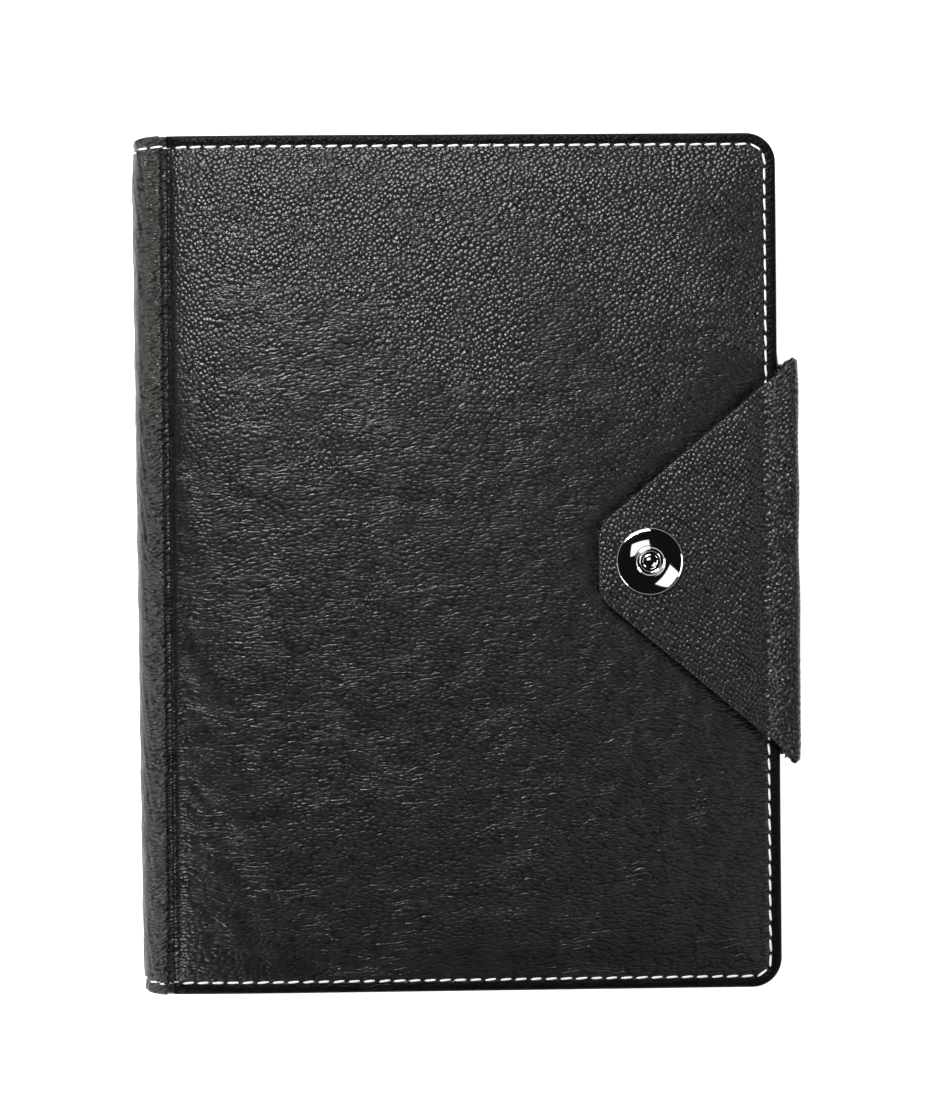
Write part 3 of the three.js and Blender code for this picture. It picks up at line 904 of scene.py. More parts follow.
@dataclass
class CaseHalf:
    """One half of the padded case: a panel over foam and board, and its half of the rounded spine.

    Its outside is a surface of u, the arc length from the gutter crease (towards the fore edge), and y.
    """

    side: Side
    finishes: Finishes
    crown: float = 1.25  # how far the padding stands above the sewn rim
    crown_reach: float = 15.0
    pillow: float = 0.5  # how far the padding goes on rising towards the middle
    stitch_inset: float = 3.1
    stitch_pitch: float = 4.12
    corner: float = 8.0
    edge_height: float = 4.7
    lip: float = 3.2
    leather: float = 1.0
    proud: float = 1.0  # how far the turned leather stands out past the board's case at the fore edge
    lean: float = 1.2  # how far the spine sits in at the tail
    wrinkle: float = 0.8  # depth of the creases across the spine's ridge
    pucker: float = 0.16  # depth of the gathers that run in from the seam
    spine_drop: float = 0.3  # how far the rim lies below the spine, which has no padding
    pillow_reach: float = 22.0
    groove_width: float = 0.8  # of the channel that the seam pulls in
    edge_radius: float = 0.8
    thread_radius: float = 0.29
    needle_hole: float = 0.36
    stitch_half: float = 1.68  # half a stitch's length
    stitch_slant: float = 4.5  # degrees from the seam
    flap: "Flap | None" = None  # what lies on the panel and presses its padding in
    press: float = 0.7  # how deep
    press_reach: float = 5.0
    seed: int = 3

    def __post_init__(self) -> None:
        """Read the frame's sizes and lay out the outer profile across the spine and panel."""
        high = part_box("front_cover_leather")[1]
        self.fore = high.x / MM + self.proud
        self.half = high.y / MM
        self.face = high.z / MM
        self.crease = joint_place("cover_open").x + 6.0
        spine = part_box("spine_leather")[0].x / MM - self.crease + 0.2
        depth = self.face / 2.0
        shape = [
            (spine, depth), (spine, depth - 3.2), (spine + 0.3, 7.2), (spine + 1.2, 5.3),
            (spine + 2.9, 3.9), (spine + 4.8, 2.75), (spine + 6.4, 1.9), (spine + 7.6, 1.45),
            (spine + 7.9, 1.5), (spine + 8.3, 2.0), (-1.6, 3.3), (-0.9, 3.6), (-0.2, 3.5), (0.6, 2.9),
            (1.4, 2.2), (2.8, 1.7), (4.6, 1.3), (7.0, 1.0), (10.0, 0.7), (17.0, 0.3), (28.0, 0.0),
            (self.fore - self.crease, 0.0),
        ]
        path = soft_path(shape, 0.12, 12)
        length = np.concatenate([[0.0], np.cumsum(np.hypot(*np.diff(path, axis=0).T))])
        zero = np.interp(0.0, path[:, 0], length)
        self.path_u = length - zero
        self.path = path
        self.start = self.path_u[0]
        self.split = self.path_u[np.argmax(np.where(path[:, 0] > -3.0, path[:, 1], 0.0))]
        self.end = self.path_u[-1]

    def head(self, u: np.ndarray) -> np.ndarray:
        """Half the case's length: straight, then round the fore corners as x^2 + y^2 = r^2.

        It draws in a little where the spine turns down.

        Args:
            u: arc length from the crease.

        Returns:
            y of the head edge, mm.
        """
        into = np.clip(self.x_of(u) - (self.fore - self.corner), 0.0, self.corner)
        cap = 2.4 * smoothstep(-4.0, self.start, u) ** 1.5
        return self.half - self.corner + np.sqrt(self.corner**2 - into**2) - cap

    def x_of(self, u: np.ndarray) -> np.ndarray:
        """The profile's x at u."""
        return self.crease + np.interp(u, self.path_u, self.path[:, 0])

    def edge_distance(self, x: np.ndarray, y: np.ndarray) -> np.ndarray:
        """Distance inside the rounded outline, from the head, tail and fore edges only.

        Args:
            x: towards the fore edge.
            y: along the spine.

        Returns:
            mm, positive inside.
        """
        qx = x - (self.fore - self.corner)
        qy = np.abs(y) - (self.half - self.corner)
        straight = self.corner - np.maximum(qx, qy)
        return np.where((qx > 0) & (qy > 0), self.corner - np.hypot(qx, qy), straight)

    def relief(self, u: np.ndarray, x: np.ndarray, y: np.ndarray) -> np.ndarray:
        """How far the surface lies below the smooth profile.

        The sum of the rim's drop, which eases out over crown_reach; the sewn groove, a bell that dips
        at each needle hole; the rounded edge, a quarter circle; soft waves; gathers that run in from
        the seam; the bed that the flap presses in, easing out over press_reach; and, on the ridge
        beside the crease, sharp creases across the spine.

        Args:
            u: arc length from the crease.
            x: the profile's x.
            y: along the spine.

        Returns:
            Depth in mm.
        """
        d = self.edge_distance(x, y)
        panel = smoothstep(-2.0, 6.0, u)
        step = self.spine_drop + (self.crown - self.pillow - self.spine_drop) * panel
        drop = step * (1.0 - smoothstep(self.stitch_inset, self.crown_reach, d))
        drop = drop + self.pillow * panel * np.exp(-np.maximum(d, 0.0) / self.pillow_reach)
        by_fore = (self.fore - x) < (self.half - np.abs(y))
        along = np.where(by_fore, y, u)
        beat = 0.5 + 0.5 * np.cos(2.0 * math.pi * along / self.stitch_pitch)
        groove = (0.3 + 0.14 * beat) * np.exp(-(((d - self.stitch_inset) / self.groove_width) ** 2))
        turn = np.clip(1.0 - d / self.edge_radius, 0.0, 1.0)
        edge = self.edge_radius * (1.0 - np.sqrt(1.0 - turn**2))
        soft = 0.10 * waves(x, y, 46.0, 9, self.seed) + 0.035 * waves(x, y * 1.8, 15.0, 12, self.seed + 1)
        soft = soft * smoothstep(3.0, 16.0, d) * smoothstep(2.0, 24.0, u)
        ridge = smoothstep(-8.5, -6.5, u) * smoothstep(-1.0, -2.2, u)
        slant = y + 0.5 * np.abs(u + 4.2) + 0.9 * waves(u, y, 9.0, 8, self.seed + 2)
        fold = 1.0 - np.abs(np.sin(math.pi * slant / 1.55))
        fold = fold**1.5 + 0.6 * (1.0 - np.abs(np.sin(math.pi * (slant - 0.7 * u) / 2.3))) ** 1.5
        patchy = 0.65 + 0.35 * np.clip(waves(u, y, 7.0, 6, self.seed + 4), -1.0, 1.0)
        wrinkle = self.wrinkle * fold * ridge * patchy * smoothstep(0.3, 2.5, d)
        wall = smoothstep(-6.0, -9.0, u) * 0.09 * waves(u * 2.6, y * 0.5 + u, 5.0, 8, self.seed + 3)
        wall = wall * smoothstep(self.start, self.start + 3.0, u)
        gather = along + 0.9 * d + 0.8 * waves(x, y, 8.0, 6, self.seed + 6)
        pull = self.pucker * (1.0 - np.abs(np.sin(math.pi * gather / 3.1))) ** 2
        pull = pull * smoothstep(3.2, 4.2, d) * smoothstep(11.0, 4.5, d)
        total = drop + groove + edge + soft + wrinkle + wall + pull * (0.5 + 0.5 * by_fore)
        if self.flap is not None:
            bed = smoothstep(self.press_reach, -1.5, self.flap.outside(x, y))
            total = total + self.press * bed * smoothstep(1.0, 7.0, d)
        return total

    def surface(self, u: np.ndarray, y: np.ndarray) -> np.ndarray:
        """Points on the outside: the profile at u, moved in along its normal by the relief.

        Args:
            u: arc length from the crease.
            y: along the spine.

        Returns:
            An array of x, y, z.
        """
        x = self.x_of(u)
        deep = np.interp(u, self.path_u, self.path[:, 1])
        ahead, behind = u + 0.2, u - 0.2
        slope_x, slope_q = (
            np.interp(ahead, self.path_u, line) - np.interp(behind, self.path_u, line) for line in self.path.T
        )
        size = np.maximum(np.hypot(slope_x, slope_q), 1e-9)
        inward = self.relief(u, x, y)
        lean = self.lean * smoothstep(-1.0, -12.0, u) * (0.5 - y / (2.0 * self.half))
        px = x - inward * slope_q / size + lean
        q = np.maximum(deep + inward * slope_x / size, 0.0)
        z = self.face - q if self.side is Side.FRONT else q
        return np.stack(np.broadcast_arrays(px, y, z), axis=-1)

    def frame_at(self, u: np.ndarray, y: np.ndarray) -> tuple[np.ndarray, np.ndarray, np.ndarray]:
        """Places for stitches, by differences of the surface.

        Args:
            u: arc length from the crease.
            y: along the spine.

        Returns:
            Points, unit directions of rising u, and outward normals.
        """
        step = 0.3
        along = self.surface(u + step, y) - self.surface(u - step, y)
        across = self.surface(u, y + step) - self.surface(u, y - step)
        along /= np.linalg.norm(along, axis=-1, keepdims=True)
        normal = np.cross(along, across)
        normal /= np.linalg.norm(normal, axis=-1, keepdims=True)
        return self.surface(u, y), along, normal if self.side is Side.FRONT else -normal

    def wall(self) -> list[Pair]:
        """The edge's section: shares of the way down and mm out, ending in the turned-in lip."""
        upper = [(0.18, 0.06), (0.45, 0.12), (0.75, 0.08)]
        return [*upper, (0.93, -0.1), (1.0, -0.5), (1.02, -1.4), (1.0, -self.lip)]

    def spine_skin(self, name: str, stations: np.ndarray, shares: np.ndarray) -> bpy.types.Object:
        """The leather over this half of the spine, with its ends turned in at the head and tail.

        The wall's normals swing from the edge's outward direction to the way down, so that the sheet
        keeps its thickness round the turn.

        Args:
            name: the piece's name.
            stations: values of u.
            shares: positions across, -1 at the tail and 1 at the head.

        Returns:
            The skin, a closed sheet.
        """
        u = stations[:, None] + 0.0 * shares
        y = self.head(stations)[:, None] * shares
        top = self.surface(u, y)
        inside = np.array([0.0, 0.0, -1.0 if self.side is Side.FRONT else 1.0])
        spine_in = np.array([1.0, 0.0, 0.0])
        turn = smoothstep(-3.0, -11.0, u)[..., None]
        inward = inside * (1.0 - turn) + spine_in * turn
        inward /= np.linalg.norm(inward, axis=-1, keepdims=True)
        x = self.x_of(u)
        corner_x = np.maximum(x - (self.fore - self.corner), 0.0)
        corner_y = np.maximum(np.abs(y) - (self.half - self.corner), 0.0) * np.sign(y)
        out = np.stack([corner_x, corner_y, 0.0 * x], axis=-1)
        out /= np.maximum(np.linalg.norm(out, axis=-1, keepdims=True), 1e-9)
        height = self.edge_height - 0.9 - 2.2 * turn
        rows = [out * shift + inward * height * share for share, shift in self.wall()]
        tail = [top[:, :1] + row[:, :1] for row in reversed(rows)]
        head = [top[:, -1:] + row[:, -1:] for row in rows]
        face = np.concatenate([*tail, top, *head], axis=1)
        facing = surface_normals(top)
        if self.side is Side.BACK:
            facing = -facing
        folded = (np.sum(facing * out, axis=-1) < 0.0) & (self.edge_distance(x, y) < 0.5)
        facing = np.where(folded[..., None], -facing, facing)  # where the relief folds the ridge's ends
        swing = np.radians([50.0, 0.0, 0.0, -40.0, -80.0, -90.0, -90.0])
        turned = [out * math.cos(a) + (facing if a > 0 else inward) * abs(math.sin(a)) for a in swing]
        turned = [row / np.maximum(np.linalg.norm(row, axis=-1, keepdims=True), 1e-9) for row in turned]
        tail = [row[:, :1] for row in reversed(turned)]
        head = [row[:, -1:] for row in turned]
        normals = np.concatenate([*tail, facing, *head], axis=1)
        down = np.array([share for share, _ in self.wall()]) * self.edge_height
        flat = np.stack([
            np.broadcast_to(u[:, :1], face.shape[:2]),
            np.concatenate([y[:, :1] - down[::-1], y, y[:, -1:] + down], axis=1),
        ], axis=-1)
        if self.side is Side.BACK:
            face, flat, normals = face[:, ::-1], flat[:, ::-1], normals[:, ::-1]
        bulge = np.full(face.shape[:2], ROUND_RIM)
        bulge[0, :] = 0.0  # both halves of the spine meet flush
        data = thick_sheet(face, self.leather, flat=flat, normals=normals, bulge=bulge)
        return data.build(name, [self.finishes.spine_leather])

    def build(self) -> list[bpy.types.Object]:
        """Make the panel, the spine's half, their thread and the foam; hang the panel, its thread and the
        foam on the cover's body, and leave the spine's pieces fixed in the frame.

        Returns:
            The pieces.
        """
        name = self.side.value
        body = f"{name}_cover"
        shares = graded(-self.half, self.half, 9.0, 0.5, 0.95) / self.half
        fine = np.linspace(-1.0, 1.0, 740)
        gutter, border, lip = 12.0, self.end - 10.0, 1.2
        quarter = np.linspace(0.0, math.pi / 2.0, 7)
        panel_u = np.concatenate([
            np.arange(self.split, gutter, 0.5),
            graded(gutter, border, 1.0, 0.9, 1.7),
            np.linspace(border, self.end - lip, 18)[1:],
            (self.end - lip * (1.0 - np.sin(quarter)))[1:],
        ])
        spine_u = np.linspace(self.start, self.split, 36)
        panel = self.panel_skin(f"{name}_skin", panel_u, shares)
        spine = self.spine_skin(f"spine_{name}_skin", spine_u, fine)
        first_stitch = 1.5
        thread = self.thread(f"{name}_thread", first_stitch, self.end, True)
        spine_thread = self.thread(f"spine_{name}_thread", self.start, first_stitch, False)
        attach(panel, body)
        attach(thread, body)
        for piece in (spine, spine_thread):
            if self.side is Side.FRONT:
                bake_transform(piece)
            else:
                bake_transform(piece)
        foam = self.padding(f"{name}_foam")
        return [panel, spine, thread, spine_thread, foam]

    def panel_skin(self, name: str, stations: np.ndarray, shares: np.ndarray) -> bpy.types.Object:
        """The panel's leather: the outside, then the wall and the turned-in lip all round it.

        The wall's points are the rim's, moved out and in along the outline's normal and down the edge.

        Args:
            name: the piece's name.
            stations: values of u from the crease to the fore edge.
            shares: positions across, -1 at the tail and 1 at the head.

        Returns:
            The skin, a closed sheet.
        """
        u = stations[:, None] + 0.0 * shares
        y = self.head(stations)[:, None] * shares
        top = self.surface(u, y)
        rows, columns = u.shape
        index = np.arange(rows * columns).reshape(rows, columns)
        loop = np.concatenate([index[:-1, 0], index[-1, :-1], index[::-1, -1]])
        x, at_y = self.x_of(u).reshape(-1)[loop], y.reshape(-1)[loop]
        corner = self.corner - 1e-3
        out = np.stack([
            np.maximum(x - (self.fore - corner), 0.0),
            np.maximum(np.abs(at_y) - (self.half - corner), 0.0) * np.sign(at_y),
            0.0 * x,
        ], axis=-1)
        out[(x < self.fore - corner), 0] = 0.0
        out /= np.maximum(np.linalg.norm(out, axis=1, keepdims=True), 1e-9)
        edge = top.reshape(-1, 3)[loop]
        foot = self.face - self.edge_height if self.side is Side.FRONT else self.edge_height
        wall = []
        wall_flat = []
        flat = np.stack([u, y], axis=-1)
        for share, shift in self.wall():
            ring = edge + out * shift
            ring[:, 2] = edge[:, 2] + (foot - edge[:, 2]) * share
            wall.append(ring)
            wall_flat.append(flat.reshape(-1, 2)[loop] + out[:, :2] * self.edge_height * share)
        data = MeshData()
        quads = grid_quads(rows, columns)
        inset = self.edge_distance(self.x_of(u), y).reshape(-1)[quads].mean(axis=1)
        # the leather outside the seam and the edge wall take the darker copy of the leather: painted shade
        rim = inset < self.stitch_inset - 0.2
        data.add(top, (quads[~rim], 0), (quads[rim], 1), flat=flat)
        first = data.add(np.array(wall), flat=np.array(wall_flat))
        below = first + np.arange(len(wall) * len(loop)).reshape(len(wall), -1)
        levels = np.concatenate([loop[None], below])
        strip = np.stack([levels[:-1, :-1], levels[1:, :-1], levels[1:, 1:], levels[:-1, 1:]], axis=-1)
        data.blocks.append((strip.reshape(-1, 4), 1))
        if self.side is Side.BACK:
            data.blocks = [(faces[:, ::-1], slot) for faces, slot in data.blocks]
        piece = data.build(name, [self.finishes.leather, self.finishes.shaded_rim_leather])
        solid = piece.modifiers.new("leather thickness", "SOLIDIFY")
        solid.thickness = self.leather * MM
        solid.offset = -1.0
        solid.use_even_offset = False
        return piece

    def padding(self, name: str) -> bpy.types.Object:
        """The foam between leather and board: the surface moved in by the leather, down to the board.

        Args:
            name: the piece's name.

        Returns:
            The foam, closed all round.
        """
        inset = 4.6
        u = graded(self.split + 2.6, self.end - inset, 6.0, 1.2, 4.0)
        share = graded(-1.0, 1.0, 0.06, 0.012, 0.035) * (self.half - inset) / self.half
        y = self.head(u)[:, None] * share
        sign = -1.0 if self.side is Side.FRONT else 1.0
        top = self.surface(u[:, None] + 0.0 * share, y)
        top[..., 2] += sign * (self.leather + 0.15)
        foot = top.copy()
        foot[..., 2] = (self.face if self.side is Side.FRONT else 0.0) + sign * 3.15
        thinnest = foot[..., 2] - sign * 0.1
        limit = np.maximum if self.side is Side.FRONT else np.minimum
        top[..., 2] = limit(top[..., 2], thinnest)
        data = MeshData()
        rows, columns = y.shape
        quads = grid_quads(rows, columns)
        loop = rim_loop(rows, columns)
        after = np.roll(loop, -1)
        size = rows * columns
        wall = np.stack([after, loop, size + loop, size + after], axis=1)
        blocks = [(quads, 0), (quads[:, ::-1] + size, 0), (wall, 0)]
        if self.side is Side.BACK:
            blocks = [(faces[:, ::-1], 0) for faces, _ in blocks]
        data.add(np.stack([top, foot]), *blocks)
        foam = data.build(name, [self.finishes.foam])
        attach(foam, f"{self.side.value}_cover")
        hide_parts(f"{self.side.value}_padding")
        return foam

    def seam(self, low: float, high: float, round_fore: bool) -> tuple[np.ndarray, np.ndarray, np.ndarray]:
        """Places of the stitches on the surface.

        The seam runs at stitch_inset from the edge: along the tail, round the fore corners as arcs,
        and back along the head, with a stitch at each pitch of its length.

        Args:
            low: the seam's lowest u.
            high: the surface's highest u.
            round_fore: goes on round the fore edge.

        Returns:
            u, y and the seam's heading in degrees from +u, for each stitch.
        """
        reach = self.half - self.stitch_inset
        if not round_fore:
            count = max(2, int((high - low) / self.stitch_pitch))
            u = high - self.stitch_pitch * (np.arange(count) + 0.5)
            u = u[u > low + 2.2]
            y = self.head(u) - self.stitch_inset
            return np.concatenate([u, u]), np.concatenate([-y, y]), np.zeros(2 * len(u))
        radius = self.corner - self.stitch_inset
        straight = high - self.corner - low
        arc = radius * math.pi / 2.0
        side = 2.0 * (self.half - self.corner)
        total = 2.0 * (straight + arc) + side
        count = int(round(total / self.stitch_pitch))
        t = (np.arange(count) + 0.5) * total / count
        mirrored = t > total / 2.0
        t = np.where(mirrored, total - t, t)
        a = np.clip((t - straight) / radius, 0.0, math.pi / 2.0)
        u = low + np.minimum(t, straight) + radius * np.sin(a)
        y = -reach + radius * (1.0 - np.cos(a)) + np.maximum(t - straight - arc, 0.0)
        heading = np.degrees(a)
        return u, np.where(mirrored, -y, y), np.where(mirrored, 180.0 - heading, heading)

    def thread(self, name: str, low: float, high: float, round_fore: bool) -> bpy.types.Object:
        """The stitches of one stretch, slanted, with a needle hole between each two.

        Args:
            name: the piece's name.
            low: the seam's lowest u.
            high: the surface's highest u.
            round_fore: goes on round the fore edge.

        Returns:
            The thread.
        """
        u, y, heading = self.seam(low, high, round_fore)
        point, along, normal = self.frame_at(u, y)
        rng = np.random.default_rng(self.seed + 11)
        slant = np.radians(heading + self.stitch_slant + rng.normal(0.0, 1.3, len(u)))
        if self.side is Side.BACK:
            slant = -slant
        length = self.stitch_half * rng.uniform(0.94, 1.05, len(u))
        data = stitches(point, along, normal, slant, length, self.thread_radius, self.needle_hole)
        return data.build(name, [self.finishes.thread, self.finishes.hole])


# --- The flap -----------------------------------------------------------------------------------


@dataclass
class Flap:
    """The pointed flap and its strip down the fore edge, cut as one and folded at two lines."""

    finishes: Finishes
    thickness: float = 2.3
    tail_thickness: float = 1.9  # of the strip's lower half, which runs in under the back board
    bend: float = 2.0
    reach: float = 48.3  # fore edge to the blunt tip
    slope: float = math.radians(40.0)
    tip_radius: float = 8.0
    valley: float = 2.8  # fore edge in to the stiffener's edge, where the flap dips
    tight: float = 0.8  # how far the strip is drawn in against the fore edge
    full_width: float = 1.2  # the stretch from the strip's outer face before the slopes start
    edge_roll: float = 0.9
    gather: float = 0.55  # depth of the creases beside the fold
    seed: int = 21

    def __post_init__(self) -> None:
        """Read the frame's sizes."""
        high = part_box("strip_leather")[1]
        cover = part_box("front_cover_leather")[1]
        self.outer = high.x / MM - self.tight
        self.half = high.y / MM
        self.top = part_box("flap_leather")[1].z / MM
        self.mid = cover.z / MM / 2.0
        self.fore = cover.x / MM
        self.slopes_start = self.outer - self.full_width
        self.tip = self.fore - self.reach

    def half_width(self, s: np.ndarray) -> np.ndarray:
        """Half the flap's width.

        A straight slope from the fold to the tip, then the tip's corner as an arc that starts where
        the slope meets it and ends square to the blunt end.

        Args:
            s: mm in from the outer face of the strip.

        Returns:
            Half widths, mm.
        """
        x = np.minimum(self.slopes_start, self.outer - s)
        straight = self.half - (self.slopes_start - x) * math.tan(self.slope)
        r = self.tip_radius
        end = self.half - (self.slopes_start - self.tip) * math.tan(self.slope)
        centre_x = self.tip + r
        centre_y = end + r * math.tan(self.slope) - r / math.cos(self.slope)
        into = np.clip(centre_x - x, 0.0, r)
        arc = centre_y + np.sqrt(np.maximum(r**2 - into**2, 0.0))
        touch = centre_x - r * math.sin(self.slope)
        return np.where(x < touch, arc, straight)

    def outside(self, x: np.ndarray, y: np.ndarray) -> np.ndarray:
        """Distance outside the flap's outline, the larger of those past its slopes and past its tip.

        Args:
            x: towards the fore edge.
            y: along the fold.

        Returns:
            mm, negative under the flap.
        """
        past = np.abs(y) - self.half + (self.slopes_start - x) * math.tan(self.slope)
        return np.maximum(past * math.cos(self.slope), self.tip - x)

    def face(self, path: np.ndarray, half: np.ndarray, shares: np.ndarray) -> np.ndarray:
        """The outer surface: a profile in x and z carried across its half width.

        Its edges roll down as a quarter circle, soft waves cross it, and fine creases gather beside
        the fold.

        Args:
            path: (n, 2) profile from the strip's side to the far end.
            half: (n,) half widths.
            shares: positions across, -1 to 1.

        Returns:
            An array of x, y, z.
        """
        x = path[:, :1] + 0.0 * shares
        z = path[:, 1:] + 0.0 * shares
        y = half[:, None] * shares
        tangent = np.gradient(path, axis=0)
        tangent /= np.maximum(np.hypot(*tangent.T)[:, None], 1e-9)
        normal = np.stack([tangent[:, 1], -tangent[:, 0]], axis=1)
        near = np.minimum((half[:, None] - np.abs(y)) * math.cos(self.slope), 30.0)
        near = np.minimum(near, np.maximum(x - self.tip, 0.0))
        turn = np.clip(1.0 - near / self.edge_roll, 0.0, 1.0)
        roll = 0.55 * (1.0 - np.sqrt(1.0 - turn**2))
        border = 0.18 * (1.0 - smoothstep(1.0, 4.0, near))
        soft = 0.09 * waves(x, y, 22.0, 8, self.seed) * smoothstep(1.0, 8.0, near)
        band = np.exp(-(((x - (self.fore + 1.5)) / 4.2) ** 2))
        band = band * smoothstep(self.top - 3.0, self.top - 0.8, z)
        slant = y + 0.5 * waves(x, y, 8.0, 6, self.seed + 1)
        creases = (1.0 - np.abs(np.sin(math.pi * (slant + 0.7 * x) / 1.7))) ** 1.5
        creases = creases + (1.0 - np.abs(np.sin(math.pi * (slant - 0.6 * x) / 1.45))) ** 1.5
        inward = roll + border + soft + self.gather * band * creases
        return np.stack([x - inward * normal[:, :1], y, z - inward * normal[:, 1:]], axis=-1)

    def flap_path(self) -> tuple[np.ndarray, np.ndarray]:
        """The flap's section, from the middle of the fore edge over the bend to the tip.

        Returns:
            (n, 2) points in x and z, and the arc length at each, finer towards the tip.
        """
        r, top, outer = self.bend, self.top, self.outer
        turn = np.linspace(0.0, math.pi / 2.0, 9)
        over = [(outer - r + r * math.cos(a), top + 0.3 - r + r * math.sin(a)) for a in turn]
        dip = self.fore - self.valley
        flat = [
            (dip + 5.5, top + 0.45), (dip + 3.0, top + 0.35), (dip + 1.3, top - 0.3), (dip, top - 0.95),
            (dip - 1.0, top - 0.8), (dip - 2.6, top - 0.2), (dip - 5.0, top + 0.05),
            (dip - 12.0, top + 0.05), (self.tip + 12.0, top), (self.tip, top - 0.15),
        ]
        path = soft_path([(outer, self.mid), *over, *flat], 0.2, 12)
        length = np.concatenate([[0.0], np.cumsum(np.hypot(*np.diff(path, axis=0).T))])
        gathered, tip = 26.0, 7.0  # arc length of the creased stretch, and of the one at the tip
        quarter = np.linspace(0.0, math.pi / 2.0, 24)
        stations = np.concatenate([
            np.arange(0.0, gathered, 0.4),
            np.arange(gathered, length[-1] - tip, 0.7),
            length[-1] - tip * (1.0 - np.sin(quarter)),
        ])
        return np.stack([np.interp(stations, length, path[:, k]) for k in (0, 1)], axis=1), stations

    def sheet(
        self,
        name: str,
        face: np.ndarray,
        along: np.ndarray,
        thickness: float,
        flush: int,
    ) -> bpy.types.Object:
        """Give an outer surface its thickness and its place on the flat hide.

        Args:
            name: the piece's name.
            face: the surface, whose normals point out.
            along: (n,) place of each row on the flat hide.
            thickness: mm.
            flush: the row where the flap and strip meet, which has no round rim.

        Returns:
            The sheet.
        """
        flat = np.stack(np.broadcast_arrays(along[:, None], face[..., 1]), axis=-1)
        bulge = np.full(face.shape[:2], ROUND_RIM)
        bulge[flush] = 0.0
        data = thick_sheet(face, thickness, (0, 1, 2), flat, bulge=bulge)
        return data.build(name, [self.finishes.flap_leather, self.finishes.lining, self.finishes.edge])

    def build(self) -> list[bpy.types.Object]:
        """Make both folded pieces, fixed in the frame.

        Returns:
            The pieces.
        """
        outer = self.outer
        path, stations = self.flap_path()
        even = np.linspace(-1.0, 1.0, 250)
        shares = 0.3 * np.sin(even * math.pi / 2.0) + 0.7 * even
        face = self.face(path, self.half_width(outer - path[:, 0]), shares)
        flap = self.sheet("flap_sheet", face[::-1], stations[::-1], self.thickness, -1)
        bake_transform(flap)
        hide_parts("flap_leather", "flap_stiffener", "flap_lining")
        r = self.bend
        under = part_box("flap_tail")[0].z / MM - 0.5
        turn = np.linspace(math.pi / 2.0, 0.0, 9)
        down = [(outer - r + r * math.sin(a), under + r - r * math.cos(a)) for a in turn]
        path = soft_path([(outer, self.mid), *down, (self.fore - 8.0, under)], 0.5, 5)
        face = self.face(path[::-1], np.full(len(path), self.half - 0.5), shares)[::-1]
        strip = self.sheet("strip_sheet", face, -0.5 * np.arange(len(path)), self.tail_thickness, 0)
        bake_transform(strip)
        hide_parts("strip_leather", "strip_lining", "flap_tail")
        return [flap, strip]


@dataclass
class Snap:
    """The magnetic snap's cap: a low chrome dome with a turned ring and a button in its middle."""

    finishes: Finishes
    radius: float = 9.0
    rim: float = 0.7
    rise: float = 2.0
    ring: float = 3.8
    well: float = 2.6
    button: float = 2.1
    rounding: float = 0.35  # of the dome's foot
    bead: float = 0.45  # height of the ring's bead
    sunk: float = 0.5  # depth of the well inside the ring

    def build(self) -> list[bpy.types.Object]:
        """Turn the cap and the button about the snap's axis.

        The dome falls as (1 - (r / R)^2.6)^0.8, the foot is a quarter circle, and the bead and the
        button are half ellipses.

        Returns:
            The pieces.
        """
        low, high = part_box("snap_cap")
        axis = ((low.x + high.x) / 2.0 / MM, (low.y + high.y) / 2.0 / MM)
        base = low.z / MM - 0.25
        r = np.linspace(self.radius, self.ring + 0.5, 26)
        dome = base + self.rim + (self.rise - self.rim) * (1.0 - (r / self.radius) ** 2.6) ** 0.8
        crest = dome[-1]
        a = np.linspace(0.0, math.pi / 2.0, 6)
        foot = np.stack([
            self.radius - self.rounding * (1.0 - np.sin(a)),
            base + self.rounding * (1.0 - np.cos(a)),
        ], axis=1)
        bead_mid = (self.ring + self.well) / 2.0
        bead_r = (self.ring - self.well) / 2.0
        t = np.linspace(0.0, math.pi, 12)
        bead = np.stack([bead_mid + bead_r * np.cos(t), crest - 0.05 + self.bead * np.sin(t)], axis=1)
        floor = crest - self.sunk
        well = [(self.well - 0.05, floor), (0.0, floor)]
        profile = np.concatenate([[(0.0, base)], foot, np.stack([r, dome], axis=1), bead, well])
        cap = lathe(profile, axis, 128).build("snap_dome", [self.finishes.chrome])
        t = np.linspace(0.0, math.pi / 2.0, 12)
        head = np.stack([self.button * np.cos(t), crest - 0.2 + 0.55 * np.sin(t)], axis=1)
        profile = np.concatenate([[(0.0, crest - 0.45), (self.button, crest - 0.45)], head])
        profile[-1, 0] = 0.0
        button = lathe(profile, axis, 72).build("snap_button", [self.finishes.chrome])
        for piece in (cap, button):
            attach(piece, "flap")
        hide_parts("snap_cap")
        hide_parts("snap_rivet")
        return [cap, button]


# --- Inside -------------------------------------------------------------------------------------


@dataclass
class SpineCore:
    """The spine's board and lining, two shallow arcs that lean with the leather round them."""

    finishes: Finishes
    lean: float

    def build(self) -> list[bpy.types.Object]:
        """Bend both sheets to the frame's arc, a circle through the spine's faces.

        Returns:
            The pieces.
        """
        low, high = (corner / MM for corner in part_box("spine_leather"))
        middle = (low.z + high.z) / 2.0
        half_width, rise = (high.z - low.z) / 2.0, 1.4
        radius = (half_width**2 + rise**2) / (2.0 * rise)
        pieces = []
        for name, depth, thickness, half, material in (
            ("spine_board", 1.35, 0.8, 6.5, self.finishes.board),
            ("spine_lining", 2.45, 0.6, 8.0, self.finishes.tan),
        ):
            z = np.linspace(half, -half, 18)
            y = np.linspace(-1.0, 1.0, 60) * (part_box(name)[1].y / MM)
            x = low.x + radius - np.sqrt((radius - depth) ** 2 - z**2)
            lean = self.lean * (0.5 - y / (2.0 * high.y))
            face = np.stack(np.broadcast_arrays(x[:, None] + lean, y, middle + z[:, None]), axis=-1)
            sheet = thick_sheet(face[::-1], thickness).build(f"{name}_sheet", [material])
            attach(sheet, "spine")
            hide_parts(name)
            pieces.append(sheet)
        return pieces


